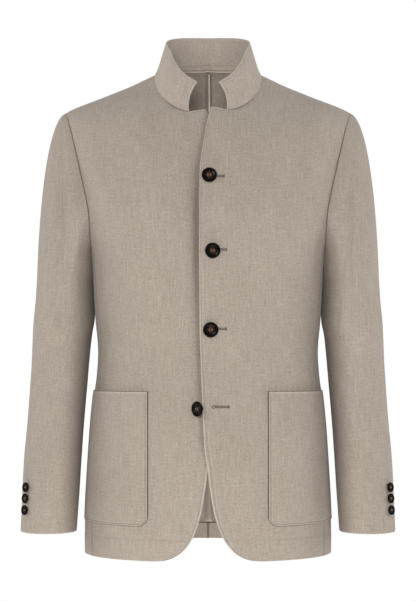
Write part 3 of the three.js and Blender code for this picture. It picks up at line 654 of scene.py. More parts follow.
# Across the seam in millimetres: how high the cloth stands, and its painted highlight (under 0) on the ridge
# and painted shade (over 0) at its foot
FELL_SEAM = table(
    "across high tone",
    [
        (-5, 0.1, 0),
        (0.9, 0.2, 0.2),
        (1.3, 1.4, -0.9),
        (2.5, 1.7, -1),
        (3.9, 1.5, -0.6),
        (4.3, 0.2, 0.9),
        (5.6, 0.1, 0.5),
        (6.6, 0.1, 0),
    ],
)
FELL_SEAM_THICK = 0.9
# It runs from above the turned-up hem to below the neck, through levels below and above the
# chest
FELL_SEAM_FOOT, FELL_SEAM_TOP = 30, -62
LOW_LEVELS, HIGH_LEVELS = 90, 34
# The ridge is flattened by pressing toward the hem: its share there, and where it changes
FELL_SEAM_LOW, FELL_SEAM_FROM, FELL_SEAM_FADE = 0.12, -330, 180
levels = np.concatenate([
    np.linspace(HEM + FELL_SEAM_FOOT, CHEST, LOW_LEVELS),
    np.linspace(CHEST, FELL_SEAM_TOP, HIGH_LEVELS)[1:],
])
place = body_angle(FELL_SEAM["across"][None, :], levels[:, None], True)
place = np.broadcast_arrays(*place)
normals = body_normal(*place)
ridge = mix(FELL_SEAM_LOW, 1, smooth((levels[:, None] - FELL_SEAM_FROM) / FELL_SEAM_FADE))
points = body_skin(place, -hem_thickness(place) - SEAM_GAP - FELL_SEAM["high"] * ridge)
points = points - normals * FELL_SEAM_THICK
felled = shell(
    "centre_back_felled_seam",
    points,
    -normals,
    taupe_linen,
    body_map(place),
    FELL_SEAM_THICK,
    seam=0.0,
    tone=FELL_SEAM["tone"] * ridge,
)
declare(points)

# Fronts
# Each front is one cut of the linen with a rounded lower corner and a straight notch under
# the collar. The left one lies over the right one, where the buttons close them. Their edges
# are folded over a stay tape and stitched close to the fold.

FRONT_EDGE = table(
    "z x",
    [
        (-608, 0),
        (-571, -5.2),
        (-497, -8.9),
        (-379, -12.5),
        (-164, -12.5),
        (-141, -11),
        (-111, -6.7),
        (-76, -0.6),
        (-58, 4.7),
    ],
)
FRONT_MIDDLE = table("z x", [(-736, 0), (-608, -0.5), (-410, 3), (-164, 3), (-58, 0.5)])
FRONT_CORNER_Z = {1: -58, -1: -60}
STAND_STEPS = 3
FRONT_COLUMNS = STAND_STEPS + SHOULDER_STEPS
LAP_STEP, LAP_FULL, LAP_NONE = 1.35, 24, 62

# Soft folds and creases of the fronts
FRONT_FOLDS = table(
    "x z run across depth lean",
    [
        (42, -120, 70, 20, 2.6, 22),
        (66, -132, 48, 13, -2.4, 25),
        (-98, -190, 120, 22, 2.4, -3),
        (-66, -205, 95, 15, -1.6, -2),
        (-47, -106, 52, 13, -2.4, -24),
        (104, -200, 110, 24, 1.8, 4),
        (-128, -148, 66, 22, -3.6, 8),
        (130, -150, 66, 21, -3.4, -8),
        (-152, -190, 55, 13, 1.8, 9),
        (156, -205, 60, 14, 1.6, -8),
        (-150, -360, 60, 16, -2, -12),
        (150, -365, 60, 16, -2, 12),
        (-62, -345, 60, 18, -1.5, 5),
        (-104, -428, 62, 15, 1.5, -3),
        (-76, -452, 46, 11, -1.2, 4),
        (72, -330, 58, 20, -1.4, -7),
        (118, -432, 52, 15, 1.5, 5),
        (88, -458, 44, 12, -1.2, -4),
        (38, -402, 40, 13, -1.1, 16),
        (52, -590, 90, 17, 1.5, -2),
        (-58, -600, 86, 16, 1.6, 3),
        (30, -655, 44, 12, -1.2, -14),
        (-34, -648, 40, 12, -1.1, 15),
    ],
)
body_folds.append((FRONT_FOLDS, 1))


def front_edge_place(side, row):
    top = FRONT_CORNER_Z[side]
    seam_top = armhole_place(side, np.array(FRONT_SEAM_STEP))[1]
    low = mix(HEM, seam_top, low_share(np.minimum(row, LOW_ROWS)))
    high = mix(seam_top, top, (row - LOW_ROWS) / (NOTCH_ROW - LOW_ROWS))
    z = np.where(row <= LOW_ROWS, low, high)
    x = np.where(row < CORNER_ROWS, corner_point(row)[..., 0], read(FRONT_EDGE, "z", z, "x"))
    if side < 0:
        x = 2 * read(FRONT_MIDDLE, "z", z, "x") - x
    return body_place(x, z)


def front_outer_place(side, row):
    low = seam_place(side, FRONT_SEAM_STEP, row)
    high = armhole_place(side, FRONT_SEAM_STEP - np.maximum(row - LOW_ROWS, 0))
    return between(low, high, row > LOW_ROWS)


def front_knee_place(side, row):
    edge, outer = front_edge_place(side, np.minimum(row, NOTCH_ROW)), front_outer_place(side, row)
    top = front_neck_place(side, np.array(0.0))
    end = np.array(float(NOTCH_ROW))
    top_edge, top_outer = front_edge_place(side, end), front_outer_place(side, end)
    top_share = (top[0] - top_edge[0]) / (top_outer[0] - top_edge[0])
    rise = np.minimum(row / NOTCH_ROW, 1)
    place = between(edge, outer, mix(STAND_STEPS / FRONT_COLUMNS, top_share, rise))
    slip = top[1] - between(top_edge, top_outer, top_share)[1]
    below = (place[0], place[1] + slip * rise**4)
    neck = front_neck_place(side, np.clip((row - NOTCH_ROW) / NECK_FRONT_STEPS, 0, 1))
    return between(below, neck, row >= NOTCH_ROW)


def front_place(side, row, column):
    row, column = np.broadcast_arrays(row, column)
    knee, outer = front_knee_place(side, row), front_outer_place(side, row)
    share = np.clip((column - STAND_STEPS) / SHOULDER_STEPS, 0, 1)
    on_top = smooth(row - ALL_ROWS + 1)
    high = between(between(knee, outer, share), shoulder_place(side, share), on_top)
    edge = front_edge_place(side, np.minimum(row, NOTCH_ROW))
    low = between(edge, knee, np.clip(column / STAND_STEPS, 0, 1))
    return between(low, high, column > STAND_STEPS)


def lap_step(side, place):
    x = side * body_form(*place)[..., 0]
    return side * LAP_STEP * (1 - smooth((x - LAP_FULL) / (LAP_NONE - LAP_FULL)))


# The edge from its fold inwards, in millimetres: how the stitching pulls it down, its painted
# highlight (under 0) along the fold, and its painted shade (over 0) in the stitching's groove
EDGE = table(
    "inward high tone",
    [
        (0, -0.2, -0.2),
        (0.7, 0, -0.36),
        (1.4, 0.05, -0.15),
        (2.1, -0.2, 0.08),
        (2.8, -0.4, 0.16),
        (3.5, -0.2, 0.05),
        (4.3, 0.05, -0.08),
        (5.2, 0, -0.02),
        (6.5, 0, 0),
    ],
)
EDGE_THICK, EDGE_THICK_TO = 2.5, 4.0
# Length of a column's step beside the edge, and of a row's step below the notch
STAND_STEP_MM, NOTCH_ROW_MM = 14.0, 36.0
EDGE_COLUMNS = EDGE["inward"] / STAND_STEP_MM
FRONT_ROWS = np.unique(np.concatenate([PANEL_ROWS, NOTCH_ROW - EDGE["inward"] / NOTCH_ROW_MM]).round(6))
# A distance from the notch that is past all that the edge's table holds
FAR_INSIDE = 99
FRONT_NECK_SEAM = 0.55
# The armhole seam is pressed open at the shoulder and shows less there
ARMHOLE_TOP_SEAM, ARMHOLE_FADE = 0.3, 4


def pressed_edge(inward):
    """How high the cloth stands at a distance in from its folded edge, and its painted highlight and shade
    there.
    """
    return (np.interp(inward, EDGE["inward"], EDGE[key]) for key in ("high", "tone"))


# The right front sinks in beside the left front's edge, along a line at TUCK_X
TUCK = table(
    "z depth",
    [
        (-660, 0),
        (-560, 3),
        (-480, 4.4),
        (-430, 5),
        (-380, 6.6),
        (-320, 10.4),
        (-250, 13),
        (-190, 11.5),
        (-140, 6),
        (-100, 1.4),
        (-58, 0),
    ],
)
TUCK_X, TUCK_LEFT, TUCK_RIGHT = -13, 11.5, 16


def tuck(side, place):
    points = body_form(*place)
    off = points[..., 0] - TUCK_X
    shape = np.exp(-((off / np.where(off < 0, TUCK_LEFT, TUCK_RIGHT)) ** 2))
    return -shape * read(TUCK, "z", points[..., 2], "depth") * (side < 0)


# Painted shadow on the right front, beside the edge of the left front that lies over it
LAP_SHADOW, LAP_SHADOW_OFF, LAP_SHADOW_HALF, LAP_SHADOW_FROM, LAP_SHADOW_FADE = 0.3, -2, 5, -608, 60


def painted_lap_shadow(side, place):
    points = body_form(*place)
    x, z = points[..., 0], points[..., 2]
    off = (x - read(FRONT_EDGE, "z", z, "x") - LAP_SHADOW_OFF) / LAP_SHADOW_HALF
    above = smooth((z - LAP_SHADOW_FROM) / LAP_SHADOW_FADE)
    return LAP_SHADOW * np.exp(-(off**2)) * above * (side < 0)


for side in (1, -1):
    columns = fine([0, STAND_STEPS, FRONT_COLUMNS], [5, 6])
    columns = np.unique(np.concatenate([columns, EDGE_COLUMNS]).round(6))[None, :]
    rows = FRONT_ROWS[:, None]
    place = np.broadcast_arrays(*front_place(side, rows, columns))
    from_notch = (NOTCH_ROW - rows) * NOTCH_ROW_MM + (columns > STAND_STEPS) * FAR_INSIDE
    from_notch = np.where(rows > NOTCH_ROW, FAR_INSIDE, from_notch)
    inward = np.minimum(columns * STAND_STEP_MM, from_notch)
    high, tone = pressed_edge(inward)
    out = lap_step(side, place) + hem_line(place) + tuck(side, place) + high
    points = body_skin(place, out)
    keep = (rows[:-1] < NOTCH_ROW - 1e-6) | (columns[:, :-1] >= STAND_STEPS - 1e-6)
    up_the_neck = np.clip((rows - NOTCH_ROW) / NECK_FRONT_STEPS, 0, 1)
    neck_seam = mix(FRONT_NECK_SEAM, NECK_SEAM, up_the_neck)
    on_neck = (columns == STAND_STEPS) & (rows >= NOTCH_ROW)
    seam = np.where(on_neck, neck_seam, 0)
    seam = np.where(rows == ALL_ROWS, SHOULDER_SEAM, seam)
    up_the_armhole = smooth((rows - ALL_ROWS + ARMHOLE_FADE) / ARMHOLE_FADE)
    armhole_seam = mix(1, ARMHOLE_TOP_SEAM, up_the_armhole)
    seam = np.where((columns == FRONT_COLUMNS) & (rows > 0), armhole_seam, seam)
    thick = np.where(inward < EDGE_THICK_TO, EDGE_THICK, hem_thickness(place))
    name = f"front_{word(side)}"
    front = shell(
        f"{name}_linen",
        points,
        body_normal(*place),
        taupe_linen,
        body_map(place),
        thick,
        flip=side < 0,
        keep=keep,
        seam=seam,
        tone=tone + hem_line_shade(place) + painted_lap_shadow(side, place),
    )
    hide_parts(name)
    declare(points, keep)

# Underarm panels
# A narrow panel of the same linen on each side. It is sewn between the back and the front
# below the armhole, and its hem is turned up with theirs.


def side_place(side, row, column):
    row, column = np.broadcast_arrays(row, column)
    share = column / (BACK_SEAM_STEP - FRONT_SEAM_STEP)
    low, high = (math.radians(SEAM_ANGLES[step]) for step in (FRONT_SEAM_STEP, BACK_SEAM_STEP))
    hem = (side * mix(low, high, share), HEM)
    return between(hem, armhole_place(side, FRONT_SEAM_STEP + column), low_share(row))


for side in (1, -1):
    rows = PANEL_ROWS[PANEL_ROWS <= LOW_ROWS][:, None]
    columns = fine([0, BACK_SEAM_STEP - FRONT_SEAM_STEP], [5])[None, :]
    place = np.broadcast_arrays(*side_place(side, rows, columns))
    points = body_skin(place, hem_line(place))
    name = f"side_{word(side)}"
    panel = shell(
        f"{name}_linen",
        points,
        body_normal(*place),
        taupe_linen,
        body_map(place),
        hem_thickness(place),
        flip=side < 0,
        seam=np.where(rows == 0, 0.0, 1.0) + 0 * columns,
        tone=hem_line_shade(place),
    )
    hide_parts(name)
    declare(points)

# Patch pockets
# A large patch on each front, round the side, with rounded lower corners. It is sewn on along
# its sides and bottom, and stands a little off the front at its mouth.

POCKET_INNER_X, POCKET_OUTER_ANGLE = 89, 92
POCKET_MOUTH, POCKET_MOUTH_FALL, POCKET_BOTTOM = -485, 4, -686
POCKET_CORNER, POCKET_WIDE = 15, 168
POCKET_LIFT = 2.0


def pocket_place(side, across, up):
    mouth = POCKET_MOUTH - POCKET_MOUTH_FALL * across
    level = mix(POCKET_BOTTOM, mouth, up)
    inner = body_place(side * POCKET_INNER_X, level)
    return between(inner, (side * math.radians(POCKET_OUTER_ANGLE), level), across)


# The patch from its edge inwards, in millimetres: how far in each ring of points lies, how far
# it stands above the front, and its painted shade (over 0) and painted highlight (under 0). The
# first rings are pinched down by the seam, and painted dark as the shadow beside its edge.
POCKET_RINGS = table(
    "inward out tone",
    [
        (0, 0.5, 0.9),
        (0.45, 1.2, 0.8),
        (0.9, 2, 0.35),
        (1.4, 2.3, -0.25),
        (2.1, 2.3, -0.1),
        (2.7, 2, 0.2),
        (3.2, 1.75, 0.35),
        (3.8, 2.1, 0.1),
        (4.6, 2.25, -0.08),
        (6, 2.2, 0),
    ],
)
# Painted shade along the pocket's mouth and a painted highlight just below it, by the distance under the
# mouth in millimetres
MOUTH_TONE = table("under tone", [(0, 0.9), (0.7, 0.6), (1.2, -0.3), (2.5, -0.2), (4, 0)])
# Round the side of the body the patch lies flatter: its share, and where across it that starts
POCKET_SIDE_FLAT, POCKET_FLAT_FROM, POCKET_FLAT_FADE = 0.42, 0.66, 0.3
POCKET_CLOTH = 0.9
POCKET_CORNER_STEPS, POCKET_STEPS_ACROSS, POCKET_STEPS_UP = 12, 41, 59
# The patch is cut from another place of the linen, so its yarns don't run on from the front's
POCKET_CUT_FROM = (0.013, 0.004)
corner_share = POCKET_CORNER / POCKET_WIDE
high = POCKET_MOUTH - POCKET_BOTTOM
for side in (1, -1):
    turns = np.linspace(0, math.pi / 2, POCKET_CORNER_STEPS + 1)
    first = corner_share * (1 - np.cos(turns))
    first = np.unique(np.concatenate([first, POCKET_RINGS["inward"] / POCKET_WIDE]))
    middle = np.linspace(corner_share, 1 - corner_share, POCKET_STEPS_ACROSS + 1)[1:-1]
    across = np.concatenate([first, middle, 1 - first[::-1]])
    into_corner = (1 - np.minimum(across, 1 - across) / corner_share).clip(0, 1)
    curve = np.sqrt(np.clip(1 - into_corner**2, 0, 1))
    foot = POCKET_CORNER / high * (1 - curve)
    rings = POCKET_RINGS["inward"] / high
    rise = np.unique(np.concatenate([np.linspace(0, 1, POCKET_STEPS_UP + 1), rings, 1 - rings[:4]]))
    up = mix(foot[None, :], 1, rise[:, None])
    across = np.broadcast_to(across[None, :], up.shape)
    from_side = np.minimum(across, 1 - across) * POCKET_WIDE
    from_bottom = (up - foot[None, :]) * high
    inward = np.minimum(from_side, from_bottom)
    raised = np.interp(inward, POCKET_RINGS["inward"], POCKET_RINGS["out"])
    under_mouth = (1 - up) * high
    pocket_tone = np.where(
        inward < under_mouth,
        np.interp(inward, POCKET_RINGS["inward"], POCKET_RINGS["tone"]),
        np.interp(under_mouth, MOUTH_TONE["under"], MOUTH_TONE["tone"]),
    )
    raised = raised + POCKET_LIFT * up**3 * np.sqrt(np.sin(math.pi * across).clip(0))
    raised = raised * mix(1, POCKET_SIDE_FLAT, smooth((across - POCKET_FLAT_FROM) / POCKET_FLAT_FADE))
    place = np.broadcast_arrays(*pocket_place(side, across, up))
    points = body_skin(place, SEAM_GAP + raised)
    name = f"pocket_{word(side)}"
    pocket = shell(
        f"{name}_linen",
        points,
        body_normal(*place),
        taupe_linen,
        body_map(place) + POCKET_CUT_FROM,
        POCKET_CLOTH,
        flip=side < 0,
        seam=np.where(rise[:, None] == 1, 0.0, 1.0) + 0 * up,
        tone=pocket_tone,
    )
    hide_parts(name)
    declare(points)

# Sleeves
# Each sleeve has a top and an under half, set into the armhole and turned so that the seam at
# the back of the arm comes round to the cuff buttons.

SLEEVE = table(
    "z mid_x half_x mid_y half_y",
    [
        (-701, 243, 42.7, -45, 46),
        (-636, 240, 43.7, -36, 49),
        (-587, 237.8, 44, -27, 52.5),
        (-537, 234.3, 43.5, -18, 56),
        (-475, 230, 44, -9, 60),
        (-440, 227.8, 44.4, -5, 62.5),
        (-410, 226, 45.2, -3, 65),
        (-385, 224, 46, -2, 67),
        (-350, 222.8, 43.9, 0, 70),
        (-315, 222.4, 42.2, 2, 74),
        (-290, 222, 41.2, 3, 76),
    ],
)
CAP_END, CUFF = -315, -701
CAP_ROWS, ARM_ROWS = 7, 10
FRONT_ARM_STEP, HIND_ARM_STEP = 9, 22
# How far the seams turn round the arm from the armhole to the cuff, in degrees
TURN_HIND, TURN_FRONT = 103, 72
# Folds of the sleeves. Side 0 is on both. The angle runs round the arm from its outer side
# over the front, and slant says how much a fold falls toward the back.
SLEEVE_FOLDS = table(
    "side angle z run across depth slant",
    [
        (-1, 91, -205, 100, 17, -6.5, 0.03),
        (1, 93, -215, 95, 17, -6, -0.03),
        (-1, 120, -225, 80, 11, 2.8, 0),
        (1, 121, -230, 76, 11, 2.6, 0),
        (-1, 60, -200, 60, 14, -1.8, 0.05),
        (1, 62, -215, 60, 14, -1.5, -0.05),
        (-1, 105, -415, 14, 34, -2.4, 0.3),
        (1, 105, -425, 14, 34, -2.4, 0.3),
        (0, 250, -330, 70, 16, -2.6, 0.1),
        (0, 180, -320, 62, 44, 2.8, 0),
        (0, 180, -280, 20, 40, 1.8, 0),
        (0, 180, -378, 26, 40, 1.6, 0),
        (-1, 88, -330, 90, 10, -2, 0),
        (1, 92, -345, 80, 10, -1.8, 0),
        (-1, 118, -388, 9, 26, 1.6, 0.45),
        (1, 121, -398, 9, 28, 1.7, 0.42),
        (-1, 128, -446, 8, 22, -1.6, 0.5),
        (1, 126, -452, 9, 24, -1.5, 0.48),
        (-1, 45, -470, 11, 30, -1.2, -0.35),
        (1, 48, -462, 10, 26, -1.3, -0.32),
        (-1, 70, -560, 60, 12, -1.4, 0.1),
        (1, 66, -575, 66, 12, -1.5, -0.1),
        (-1, 205, -400, 12, 34, -1.8, -0.25),
        (1, 210, -408, 13, 30, -2, -0.28),
        (-1, 228, -450, 10, 26, 1.4, -0.3),
        (1, 224, -444, 10, 28, 1.5, -0.26),
    ],
)
# How the lengthwise lines of the sleeve cap leave the armhole: outwards, forwards and down,
# with what is added at the top, at the front and back, and how they arrive at the arm
CAP_LEAVE = {"out": 14, "out_top": 8, "forward": 8, "down": 7.5, "down_top": 1.5, "down_sides": 5}
CAP_ARRIVE = {"inward": 2.5, "up": 80, "up_top": 75}
# The sleeve lies against the body just below the armhole. Its folds fade out at the armhole.
UNDERARM_Z, UNDERARM_HALF, UNDERARM_FULL = -296, 16, 2.8
CAP_FOLD_FADE = 0.3


def half_turn(angle):
    """The same direction as an angle, within half a turn of 0."""
    return np.arctan2(np.sin(angle), np.cos(angle))


def arm_relief(side, angle, z):
    relief = np.zeros(np.broadcast(angle, z).shape)
    half_y = read(SLEEVE, "z", z, "half_y")
    for which, at, fz, run, across, depth, slant in zip(*SLEEVE_FOLDS.values()):
        if which in (0, side):
            round_arm = half_turn(angle - math.radians(at)) * half_y
            relief = relief + fold_depth(round_arm, z - fz - slant * round_arm, run, across, depth)
    return relief


def arm_point(side, angle, z, folded=True):
    angle, z = np.broadcast_arrays(angle, z)
    relief = arm_relief(side, angle, z) if folded else 0
    x = read(SLEEVE, "z", z, "mid_x") + (read(SLEEVE, "z", z, "half_x") + relief) * np.cos(angle)
    y = read(SLEEVE, "z", z, "mid_y") - (read(SLEEVE, "z", z, "half_y") + relief) * np.sin(angle)
    return np.stack([side * x, y, z], -1)


def arm_angle(side, points, near):
    """Angle round the arm at which points lie, within half a turn of another angle."""
    z = np.minimum(points[..., 2], CAP_END)
    across = (side * points[..., 0] - read(SLEEVE, "z", z, "mid_x")) / read(SLEEVE, "z", z, "half_x")
    deep = (read(SLEEVE, "z", z, "mid_y") - points[..., 1]) / read(SLEEVE, "z", z, "half_y")
    return near + half_turn(np.arctan2(deep, across) - near)


def arm_turn(step, share):
    lead = (1 + np.cos(round_armhole(step - HIND_ARM_STEP))) / 2
    return np.radians(mix(TURN_FRONT, TURN_HIND, lead)) * smooth(share)


def sleeve_points(side, step, row):
    step, row = np.broadcast_arrays(step, row)
    start = round_armhole(step)
    share = np.clip((row - CAP_ROWS) / ARM_ROWS, 0, 1)
    below = arm_point(side, start + arm_turn(step, share), mix(CAP_END, CUFF, share))
    top, ahead = np.cos(start), np.sin(start)
    out = CAP_LEAVE["out"] + CAP_LEAVE["out_top"] * top
    down = CAP_LEAVE["down"] + CAP_LEAVE["down_top"] * top + CAP_LEAVE["down_sides"] * ahead**2
    leave = np.stack([side * out, -CAP_LEAVE["forward"] * ahead, -down], -1)
    inward = CAP_ARRIVE["inward"] * (1 + top)
    up = CAP_ARRIVE["up"] + CAP_ARRIVE["up_top"] * top
    arrive = np.stack([-side * inward, 0 * start, up], -1)
    armhole = body_skin(armhole_place(side, np.mod(step, ARMHOLE_STEPS)))
    arm = arm_point(side, start, np.full(start.shape, float(CAP_END)), folded=False)
    t = np.clip(row / CAP_ROWS, 0, 1)[..., None]
    cap = bezier(armhole, armhole + leave, arm + arrive, arm, t)
    inner = ((1 - top) / 2) ** 4
    off = (cap[..., 2] - UNDERARM_Z) / UNDERARM_HALF
    cap[..., 0] -= side * UNDERARM_FULL * inner * np.exp(-(off**2))
    angle = arm_angle(side, cap, start)
    relief = arm_relief(side, angle, cap[..., 2]) * smooth(t[..., 0] / CAP_FOLD_FADE)
    cap[..., 0] += side * relief * np.cos(angle)
    cap[..., 1] -= relief * np.sin(angle)
    return np.where((row < CAP_ROWS)[..., None], cap, below)


# The threads run along each sleeve, so its cloth is mapped by the distance round it
ROUND_ANGLES = np.linspace(0, 4 * math.pi, 361)
ROUND_HALF_X, ROUND_HALF_Y = 44, 57
round_length = running_length(
    np.stack([ROUND_HALF_X * np.cos(ROUND_ANGLES), ROUND_HALF_Y * np.sin(ROUND_ANGLES)], -1), 0
)


def sleeve_angle(side, step, row, points):
    share = np.clip((row - CAP_ROWS) / ARM_ROWS, 0, 1)
    return arm_angle(side, points, round_armhole(step) + arm_turn(step, share))


def sleeve_map(side, angle, points):
    length = side * np.interp(angle, ROUND_ANGLES, round_length)
    return np.stack([length, points[..., 2]], -1) * MM


# Painted shade on the inner side of the arm, where light hardly comes
INNER_ARM_SHADE, INNER_HALF, INNER_TOP, INNER_FADE = 0.7, 75, -225, 150


def painted_inner_arm_shade(angle, points):
    off = np.degrees(np.abs(half_turn(angle - math.pi)))
    below = smooth((INNER_TOP - points[..., 2]) / INNER_FADE)
    return INNER_ARM_SHADE * (1 - smooth(off / INNER_HALF)) * below


FRONT_SLEEVE_SEAM, HIND_SLEEVE_SEAM = 0.16, 0.8


def sleeve_seam(rows, columns):
    """The seam at the front of the arm is pressed open and hardly shows."""
    front = np.minimum(np.abs(columns - FRONT_ARM_STEP), np.abs(columns - FRONT_ARM_STEP - ARMHOLE_STEPS))
    along = np.where(front < 0.5, FRONT_SLEEVE_SEAM, HIND_SLEEVE_SEAM)
    from_top = smooth(np.abs(columns - ARMHOLE_STEPS) / ARMHOLE_FADE)
    armhole = mix(ARMHOLE_TOP_SEAM, 1, from_top)
    return np.where(rows == 0, armhole, np.where(rows == CAP_ROWS + ARM_ROWS, 0.0, along))


SLEEVE_ROWS = fine([0, CAP_ROWS, CAP_ROWS + ARM_ROWS], [8, 10])
CUFF_THICK = 2.6
NEAR_STEP = 0.02
for side in (1, -1):
    for part, first, last in (
        ("under", FRONT_ARM_STEP, HIND_ARM_STEP),
        ("top", HIND_ARM_STEP, FRONT_ARM_STEP + ARMHOLE_STEPS),
    ):
        rows, columns = SLEEVE_ROWS[:, None], fine([first, last], [5])[None, :]
        points = sleeve_points(side, columns, rows)
        ahead, behind = (sleeve_points(side, columns + step, rows) for step in (NEAR_STEP, -NEAR_STEP))
        normals = unit(np.cross(ahead - behind, np.gradient(points, axis=0))) * side
        angle = sleeve_angle(side, columns, rows, points)
        thick = np.where(points[..., 2] < CUFF + HEM_TURN, CUFF_THICK, CLOTH)
        name = f"sleeve_{part}_{word(side)}"
        sleeve = shell(
            f"{name}_linen",
            points,
            normals,
            taupe_linen,
            sleeve_map(side, angle, points),
            thick,
            flip=side < 0,
            seam=sleeve_seam(rows, columns),
            tone=painted_inner_arm_shade(angle, points),
        )
        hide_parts(name)
        declare(points)

# Stand collar
# A stiffened band of two layers of linen, sewn to the neckline and open in front. Its ends
# and upper edge are turned and pressed. Inside, its lower edge is felled over the neck seam.

COLLAR_TOP = np.array(
    [
        (16.5, -62, -18),
        (37, -52, -3),
        (50, -35, 16),
        (57.5, -20, 34),
        (65, 15, 53),
        (50, 50, 63),
        (27, 69, 66.5),
        (0, 75, 67),
    ],
    float,
)
COLLAR_HALF = NECK_FRONT_STEPS + NECK_BACK_STEPS
COLLAR_ROWS = 4
# The ends bow outwards, less and less toward the shoulders
BOW_SIZE, BOW_REACH = 5, 2.2
CURVE_STEPS = 24


def toward(p, q, start, end, t):
    """The point at t of a line that is at p for start and at q for end."""
    return (end - t) / (end - start) * p + (t - start) / (end - start) * q


def along_line(line, length, at):
    """Points at distances along a line of points, whose running length is given."""
    return np.stack([np.interp(at, length, line[:, k]) for k in range(3)], -1)


def through(points, shares):
    """Points at shares of the length of a smooth curve through points, which is centripetal."""
    ends = [2 * points[0] - points[1], *points, 2 * points[-1] - points[-2]]
    dense = []
    for p0, p1, p2, p3 in zip(ends, ends[1:], ends[2:], ends[3:]):
        knots = [0.0]
        for a, b in ((p0, p1), (p1, p2), (p2, p3)):
            knots.append(knots[-1] + math.sqrt(np.linalg.norm(b - a)))
        k0, k1, k2, k3 = knots
        t = np.linspace(k1, k2, CURVE_STEPS, endpoint=False)[:, None]
        first, second, third = (
            toward(p0, p1, k0, k1, t),
            toward(p1, p2, k1, k2, t),
            toward(p2, p3, k2, k3, t),
        )
        before, after = toward(first, second, k0, k2, t), toward(second, third, k1, k3, t)
        dense.append(toward(before, after, k1, k2, t))
    dense = np.concatenate([*dense, [points[-1]]])
    length = running_length(dense, 0)
    return along_line(dense, length, shares * length[-1])


def neckline(side, column):
    """Places on the neckline's front and back parts at a column, and whether it is in front."""
    front = front_neck_place(side, np.clip(column / NECK_FRONT_STEPS, 0, 1))
    back = back_neck_place(side, np.clip(1 - (column - NECK_FRONT_STEPS) / NECK_BACK_STEPS, 0, 1))
    return front, back, (column <= NECK_FRONT_STEPS)[..., None]


def collar_points(side, column, row):
    column, row = np.broadcast_arrays(column, row)
    front, back, on_front = neckline(side, column)
    foot = np.where(on_front, body_skin(front, lap_step(side, front)), body_skin(back))
    top = through(COLLAR_TOP * (side, 1, 1), column / COLLAR_HALF)
    rise = row / COLLAR_ROWS
    points = mix(foot, top, rise[..., None])
    bow = BOW_SIZE * 4 * rise * (1 - rise) * np.exp(-column / BOW_REACH)
    points[..., 0] += side * bow
    return points


def collar_foot_normal(side, column):
    front, back, on_front = neckline(side, column)
    return np.where(on_front, body_normal(*front), body_normal(*back))


COLLAR_CLOTH = 3.0
COLLAR_STEP_MM, COLLAR_ROW_MM = 11.0, 10.0
# Toward the shoulders the foot of the collar spreads out over the body in a soft curve: how
# far out and how high up it starts, where along the neckline, and what it clears the body by
FLARE_REACH, FLARE_HIGH, FLARE_FROM, FLARE_OVER, FLARE_CLEAR = 3.6, 16, 1.5, 3, 0.15
# Shares of the front edge's relief and of its painted highlight and shade that the collar's edges take
COLLAR_EDGE_HIGH, COLLAR_EDGE_TONE = 0.6, 0.7
# A paler copy of the same linen for the collar: painted light, so that the band shows as bright as the front
collar_linen = linen("plain_woven_taupe_linen_painted_paler", "#c4b9ad", "#8c7f74")
half_columns = fine([0, COLLAR_HALF], [7], close=EDGE["inward"][1:] / COLLAR_STEP_MM)
rows = fine([0, COLLAR_ROWS], [5], close=EDGE["inward"][1:] / COLLAR_ROW_MM)[:, None]
right_half, left_half = (collar_points(side, half_columns[None, :], rows) for side in (-1, 1))
points = np.concatenate([right_half, left_half[:, -2::-1]], 1)
columns = np.concatenate([half_columns, 2 * COLLAR_HALF - half_columns[-2::-1]])[None, :]
normals = -unit(np.cross(np.gradient(points, axis=1), np.gradient(points, axis=0)))
from_end = np.minimum(columns, 2 * COLLAR_HALF - columns)
inward = np.minimum(from_end * COLLAR_STEP_MM, (COLLAR_ROWS - rows) * COLLAR_ROW_MM)
high, tone = pressed_edge(inward)
points = points + normals * (high * COLLAR_EDGE_HIGH)[..., None]
foot_run = unit(np.gradient(points[0], axis=0))
right_up, left_up = (collar_foot_normal(side, half_columns) for side in (-1, 1))
foot_up = np.concatenate([right_up, left_up[-2::-1]])
away = unit(np.cross(foot_run, foot_up))
away = away * np.sign((away * points[0] * (1, 1, 0)).sum(axis=1))[:, None]
above_foot = running_length(points, 0)
reach = FLARE_REACH * smooth((from_end - FLARE_FROM) / FLARE_OVER)
flare = (1 - above_foot / FLARE_HIGH).clip(0) ** 2 * reach
points = points + away[None] * flare[..., None] + foot_up[None] * (flare > 0)[..., None] * FLARE_CLEAR
length = running_length(points[len(rows) // 2], 0)
height = running_length(points, 0)
middle = length[len(half_columns) - 1]
uv = np.stack([np.broadcast_to(length - middle, height.shape), height], -1) * MM
fading = np.clip(from_end / NECK_FRONT_STEPS, 0, 1)
seam = np.where(rows == 0, mix(FRONT_NECK_SEAM, NECK_SEAM, fading), 0)
collar = shell(
    "collar_linen",
    points,
    normals,
    collar_linen,
    uv,
    COLLAR_CLOTH,
    flip=True,
    seam=seam,
    tone=tone * COLLAR_EDGE_TONE,
)
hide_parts("collar")
declare(points)

# Felled inner edge of the collar
# The inner layer of the collar's linen is turned under and sewn down a little below the neck
# seam, which leaves a low soft welt inside the neck.

FELL_FIRST, FELL_COLUMNS = 3.2, 150
# Up from the foot of the collar, in millimetres: how high each row lies, how far the welt stands out, and
# its painted highlight (under 0) and painted shade (over 0)
FELL = table(
    "high thick tone",
    [
        (0.3, 1.3, -0.5),
        (0.8, 1.8, -0.5),
        (2.2, 1.9, -0.25),
        (3.6, 1.8, 0.25),
        (4.3, 1.3, 0.5),
        (5, 1.6, 0.1),
        (6.5, 1.4, 0),
        (8.5, 0.8, 0),
        (10.8, 0.3, 0),
    ],
)
